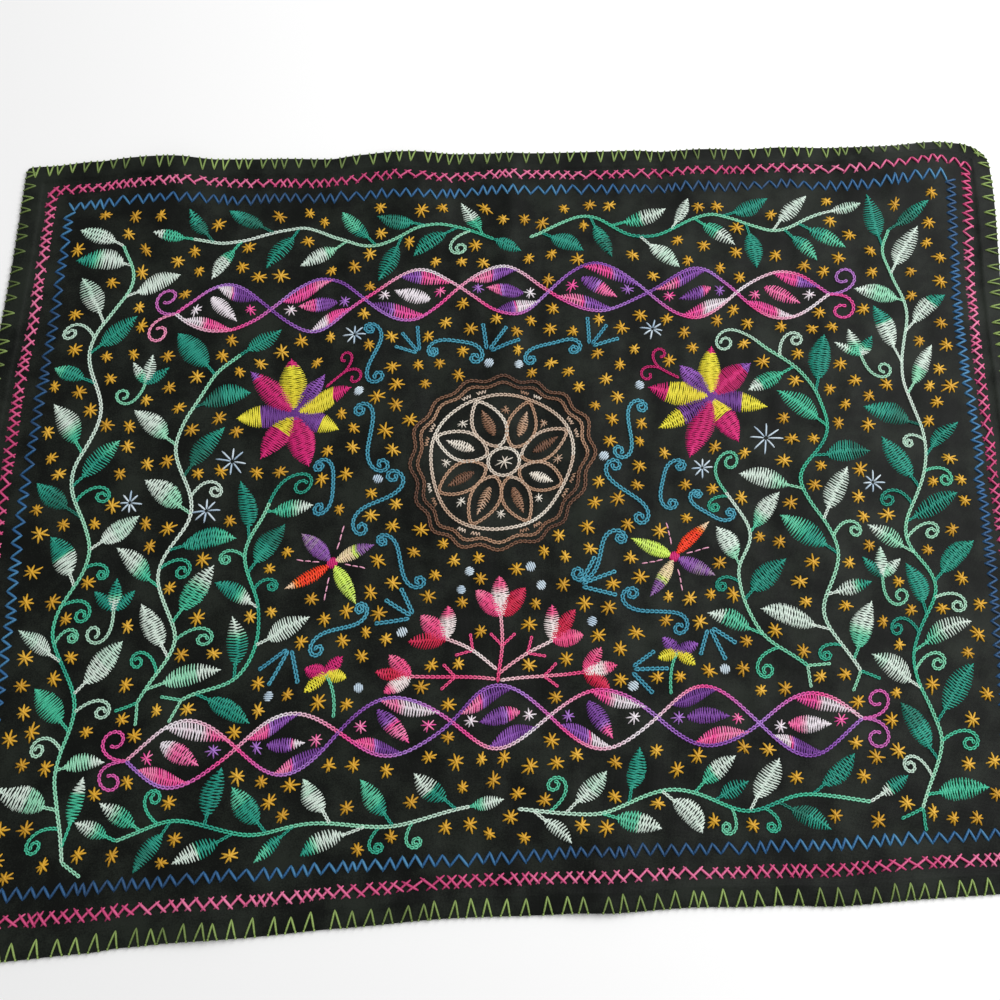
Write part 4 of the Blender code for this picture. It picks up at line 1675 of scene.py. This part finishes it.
class CLOTH_OT_scrolls(bpy.types.Operator):
    """Work the blue scrolls and sprouts"""

    bl_idname = "cloth.scrolls"
    bl_label = "Scrolls"

    def execute(self, context):
        rng = np.random.default_rng(SEED + 16)
        step = context.scene.stitch_sizes.chain_step
        skein = Skein()
        for hand in (-1, 1):
            for scroll in SCROLLS:
                self.scroll(skein, scroll, hand, step, rng)
            for sprout in SPROUTS:
                self.sprout(skein, sprout, hand, step, rng)
        sew("scrolls", skein, "sky", SEED + 16)
        return {"FINISHED"}

    def scroll(self, skein, scroll, hand, step, rng):
        """Works one scroll, turned a little further at each try until there is room for it."""
        size = scroll.size * rng.uniform(0.93, 1.05)
        along = np.arange(-SCROLL_LENGTH / 2, SCROLL_LENGTH / 2, step / size)
        bends = SCROLL_BEND / size * abs(2 * along / SCROLL_LENGTH) ** SCROLL_GROWTH
        if scroll.kind == "S":
            bends = bends * np.sign(along)
        path = curl((0.0, 0.0), 0.0, bends, step)
        path = path - path[len(path) // 2]
        first = math.radians(scroll.heading) - heading_of(path, len(path) // 2)
        for attempt in range(SCROLL_TRIES):
            spun = turned(path, first + rng.uniform(-1, 1) * SCROLL_TURN * (attempt + 1))
            spun[:, 0] *= -hand
            spun = spun - (spun.max(axis=0) + spun.min(axis=0)) / 2
            near = mirrored(hand, scroll.a, scroll.b)
            place = room_for(beside(spun, SCROLL_MARGIN), near, SCROLL_ROOM, rng)
            if place is not None:
                skein.chain(place + spun, 0.4 + 0.4 * rng.uniform(), size=SCROLL_LINK)
                return

    def sprout(self, skein, sprout, hand, step, rng):
        """Works a sprout of three arms where there is room for it."""
        arms = []
        for turn in SPROUT_TURNS:
            way = unit(math.radians(sprout.heading + turn + rng.uniform(-6, 6))) * (-hand, 1)
            arms.append(straight(way * SPROUT_GAP, way * (SPROUT_ARM * rng.uniform(0.8, 1.1)), step))
        shape = np.concatenate([beside(arm, SPROUT_MARGIN) for arm in arms])
        place = room_for(shape, mirrored(hand, sprout.a, sprout.b), SCROLL_ROOM, rng)
        if place is not None:
            for arm in arms:
                skein.chain(place + arm, 0.3 + 0.5 * rng.uniform(), size=SCROLL_LINK)


# The large pale stars and the pale dots of the left half, each mirrored on the right
PaleStar = namedtuple("PaleStar", "a b reach")
PALE_STARS = (
    PaleStar(-0.118, 0.138, 0.018), PaleStar(-0.205, 0.040, 0.025), PaleStar(-0.060, 0.126, 0.015),
    PaleStar(-0.216, -0.010, 0.020), PaleStar(-0.150, 0.028, 0.016), PaleStar(-0.284, 0.004, 0.018),
)
DOTS = (
    (-0.012, 0.112), (-0.022, -0.056), (-0.070, -0.098), (-0.110, 0.090), (-0.086, 0.020),
    (-0.165, -0.138), (-0.030, -0.070), (-0.100, -0.140),
)
PALE_POINTS = 8
PALE_THREAD = 0.0015
PALE_RISE = 0.0004
PALE_ROOM = 0.012
DOT_SIZE = 0.0080


class CLOTH_OT_pale_stars(bpy.types.Operator):
    """Work the large pale stars and the pale dots"""

    bl_idname = "cloth.pale_stars"
    bl_label = "Pale stars"

    def execute(self, context):
        rng = np.random.default_rng(SEED + 18)
        skein = Skein()
        for hand in (-1, 1):
            for pale in PALE_STARS:
                near = mirrored(hand, pale.a, pale.b)
                middle = room_for(disc((0.0, 0.0), pale.reach * 0.48), near, PALE_ROOM, rng)
                if middle is None:
                    continue
                for i in range(PALE_POINTS):
                    heading = 2 * math.pi * i / PALE_POINTS + rng.uniform(-0.12, 0.12)
                    reach = pale.reach / 2 * rng.uniform(0.8, 1.15)
                    start, end = (middle + unit(heading) * far for far in (0.06 * pale.reach, reach))
                    skein.strokes(start, end, rng.uniform(0, 1), width=PALE_THREAD, rise=PALE_RISE)
            for dot in DOTS:
                middle = room_for(disc((0.0, 0.0), DOT_SIZE * 0.6), mirrored(hand, *dot), PALE_ROOM, rng)
                if middle is not None:
                    spot(skein, middle, DOT_SIZE, DOT_SIZE * 0.85, rng.uniform(0.2, 0.9), rng)
        sew("pale_stars", skein, "ice", SEED + 18)
        return {"FINISHED"}


# The small stars that fill the ground between the motifs
STAR_TRIES = 26000
STAR_ROOM = 0.0060
STAR_THREAD = 0.00172
STAR_TONES = (0.3, 0.5, 0.5, 0.75)


class CLOTH_OT_stars(bpy.types.Operator):
    """Scatter the small orange stars wherever there is room"""

    bl_idname = "cloth.stars"
    bl_label = "Small stars"

    def execute(self, context):
        rng = np.random.default_rng(SEED + 20)
        sizes = context.scene.stitch_sizes
        skein = Skein()
        placed = np.empty((0, 2))
        tries = rng.uniform((-FIELD_LEFT, -FIELD_B), (FIELD_RIGHT, FIELD_B), (STAR_TRIES, 2))
        for middle in tries:
            far = np.linalg.norm(placed - middle, axis=1)
            if len(placed) and far.min() < sizes.star_apart:
                continue
            if free(disc(middle, STAR_ROOM)):
                placed = np.concatenate([placed, middle[None]])
        for middle in placed:
            reach = sizes.star_reach * rng.uniform(0.85, 1.12)
            star(skein, middle, reach, rng.choice(STAR_TONES), rng, width=STAR_THREAD)
        sew("small_stars", skein, "orange", SEED + 20)
        return {"FINISHED"}


# The floor, a little below the cloth so that the two never touch, and the large soft light
FLOOR_HALF = 4.0
FLOOR_LEVEL = -0.0004
KEY_PLACE = (1.45, 0.62, 1.65)
KEY_SIZE = (2.2, 1.4)
SENSOR_WIDTH = 36.0


class CLOTH_OT_stage(bpy.types.Operator):
    """Set the floor, the soft lights and the camera"""

    bl_idname = "cloth.stage"
    bl_label = "Stage"

    def execute(self, context):
        looks = context.scene.stage_looks
        plane = bmesh.new()
        bmesh.ops.create_grid(plane, x_segments=1, y_segments=1, size=FLOOR_HALF)
        bmesh.ops.translate(plane, verts=plane.verts[:], vec=(0.0, 0.0, FLOOR_LEVEL))
        floor = put("floor", bpy.data.meshes.new("floor"))
        plane.to_mesh(floor.data)
        plane.free()
        material, tree, shader = new_material("pale_floor")
        look = {"Base Color": looks.floor_colour, "Roughness": 0.9, "Specular IOR Level": 0.1}
        take(tree, shader, look)
        floor.data.materials.append(material)

        world = bpy.data.worlds.new("studio")
        world.use_nodes = True
        room = {"Color": (1.0, 1.0, 1.0, 1.0), "Strength": looks.sky_strength}
        take(world.node_tree, world.node_tree.nodes["Background"], room)
        context.scene.world = world
        context.scene.view_settings.view_transform = "Standard"

        key = put("key_light", bpy.data.lights.new("key_light", "AREA"))
        key.data.energy = looks.key_power
        key.data.shape = "RECTANGLE"
        key.data.size, key.data.size_y = KEY_SIZE
        key.location = KEY_PLACE
        key.rotation_mode = "QUATERNION"
        key.rotation_quaternion = (-key.location).to_track_quat("-Z", "Y")

        camera = put("camera", bpy.data.cameras.new("camera"))
        camera.data.lens = looks.lens
        camera.data.sensor_width = SENSOR_WIDTH
        turn = Matrix.Rotation(CAMERA_TURN, 4, "Z") @ Matrix.Rotation(CAMERA_TILT, 4, "X")
        roll = Matrix.Rotation(CAMERA_ROLL, 4, "Z")
        camera.matrix_world = Matrix.Translation(CAMERA_PLACE) @ turn @ roll
        context.scene.camera = camera
        return {"FINISHED"}


class CLOTH_PT_pieces(bpy.types.Panel):
    """The pieces of the embroidered cloth"""

    bl_idname = "CLOTH_PT_pieces"
    bl_label = "Embroidered cloth"
    bl_space_type = "VIEW_3D"
    bl_region_type = "UI"
    bl_category = "Embroidery"

    def draw(self, context):
        layout = self.layout
        for step in STEPS:
            layout.operator(step.bl_idname)
        for group in GROUPS.values():
            settings = getattr(context.scene, group)
            for key in type(settings).__annotations__:
                layout.prop(settings, key)


STEPS = (
    CLOTH_OT_sheet,
    CLOTH_OT_edge_stitches,
    CLOTH_OT_rose_line,
    CLOTH_OT_navy_line,
    CLOTH_OT_rosette,
    CLOTH_OT_ribbons,
    CLOTH_OT_flowers,
    CLOTH_OT_tulips,
    CLOTH_OT_scrolls,
    CLOTH_OT_vines,
    CLOTH_OT_pale_stars,
    CLOTH_OT_stars,
    CLOTH_OT_stage,
)
GROUPS = {
    ClothLooks: "cloth_looks",
    StitchSizes: "stitch_sizes",
    ThreadColours: "thread_colours",
    StageLooks: "stage_looks",
}


def register():
    for group, name in GROUPS.items():
        bpy.utils.register_class(group)
        setattr(bpy.types.Scene, name, bpy.props.PointerProperty(type=group))
    for kind in STEPS + (CLOTH_PT_pieces,):
        bpy.utils.register_class(kind)


def unregister():
    for kind in reversed(STEPS + (CLOTH_PT_pieces,)):
        bpy.utils.unregister_class(kind)
    for group, name in GROUPS.items():
        delattr(bpy.types.Scene, name)
        bpy.utils.unregister_class(group)


def main():
    register()
    for step in STEPS:
        space, name = step.bl_idname.split(".")
        getattr(getattr(bpy.ops, space), name)()


if __name__ == "__main__":
    main()
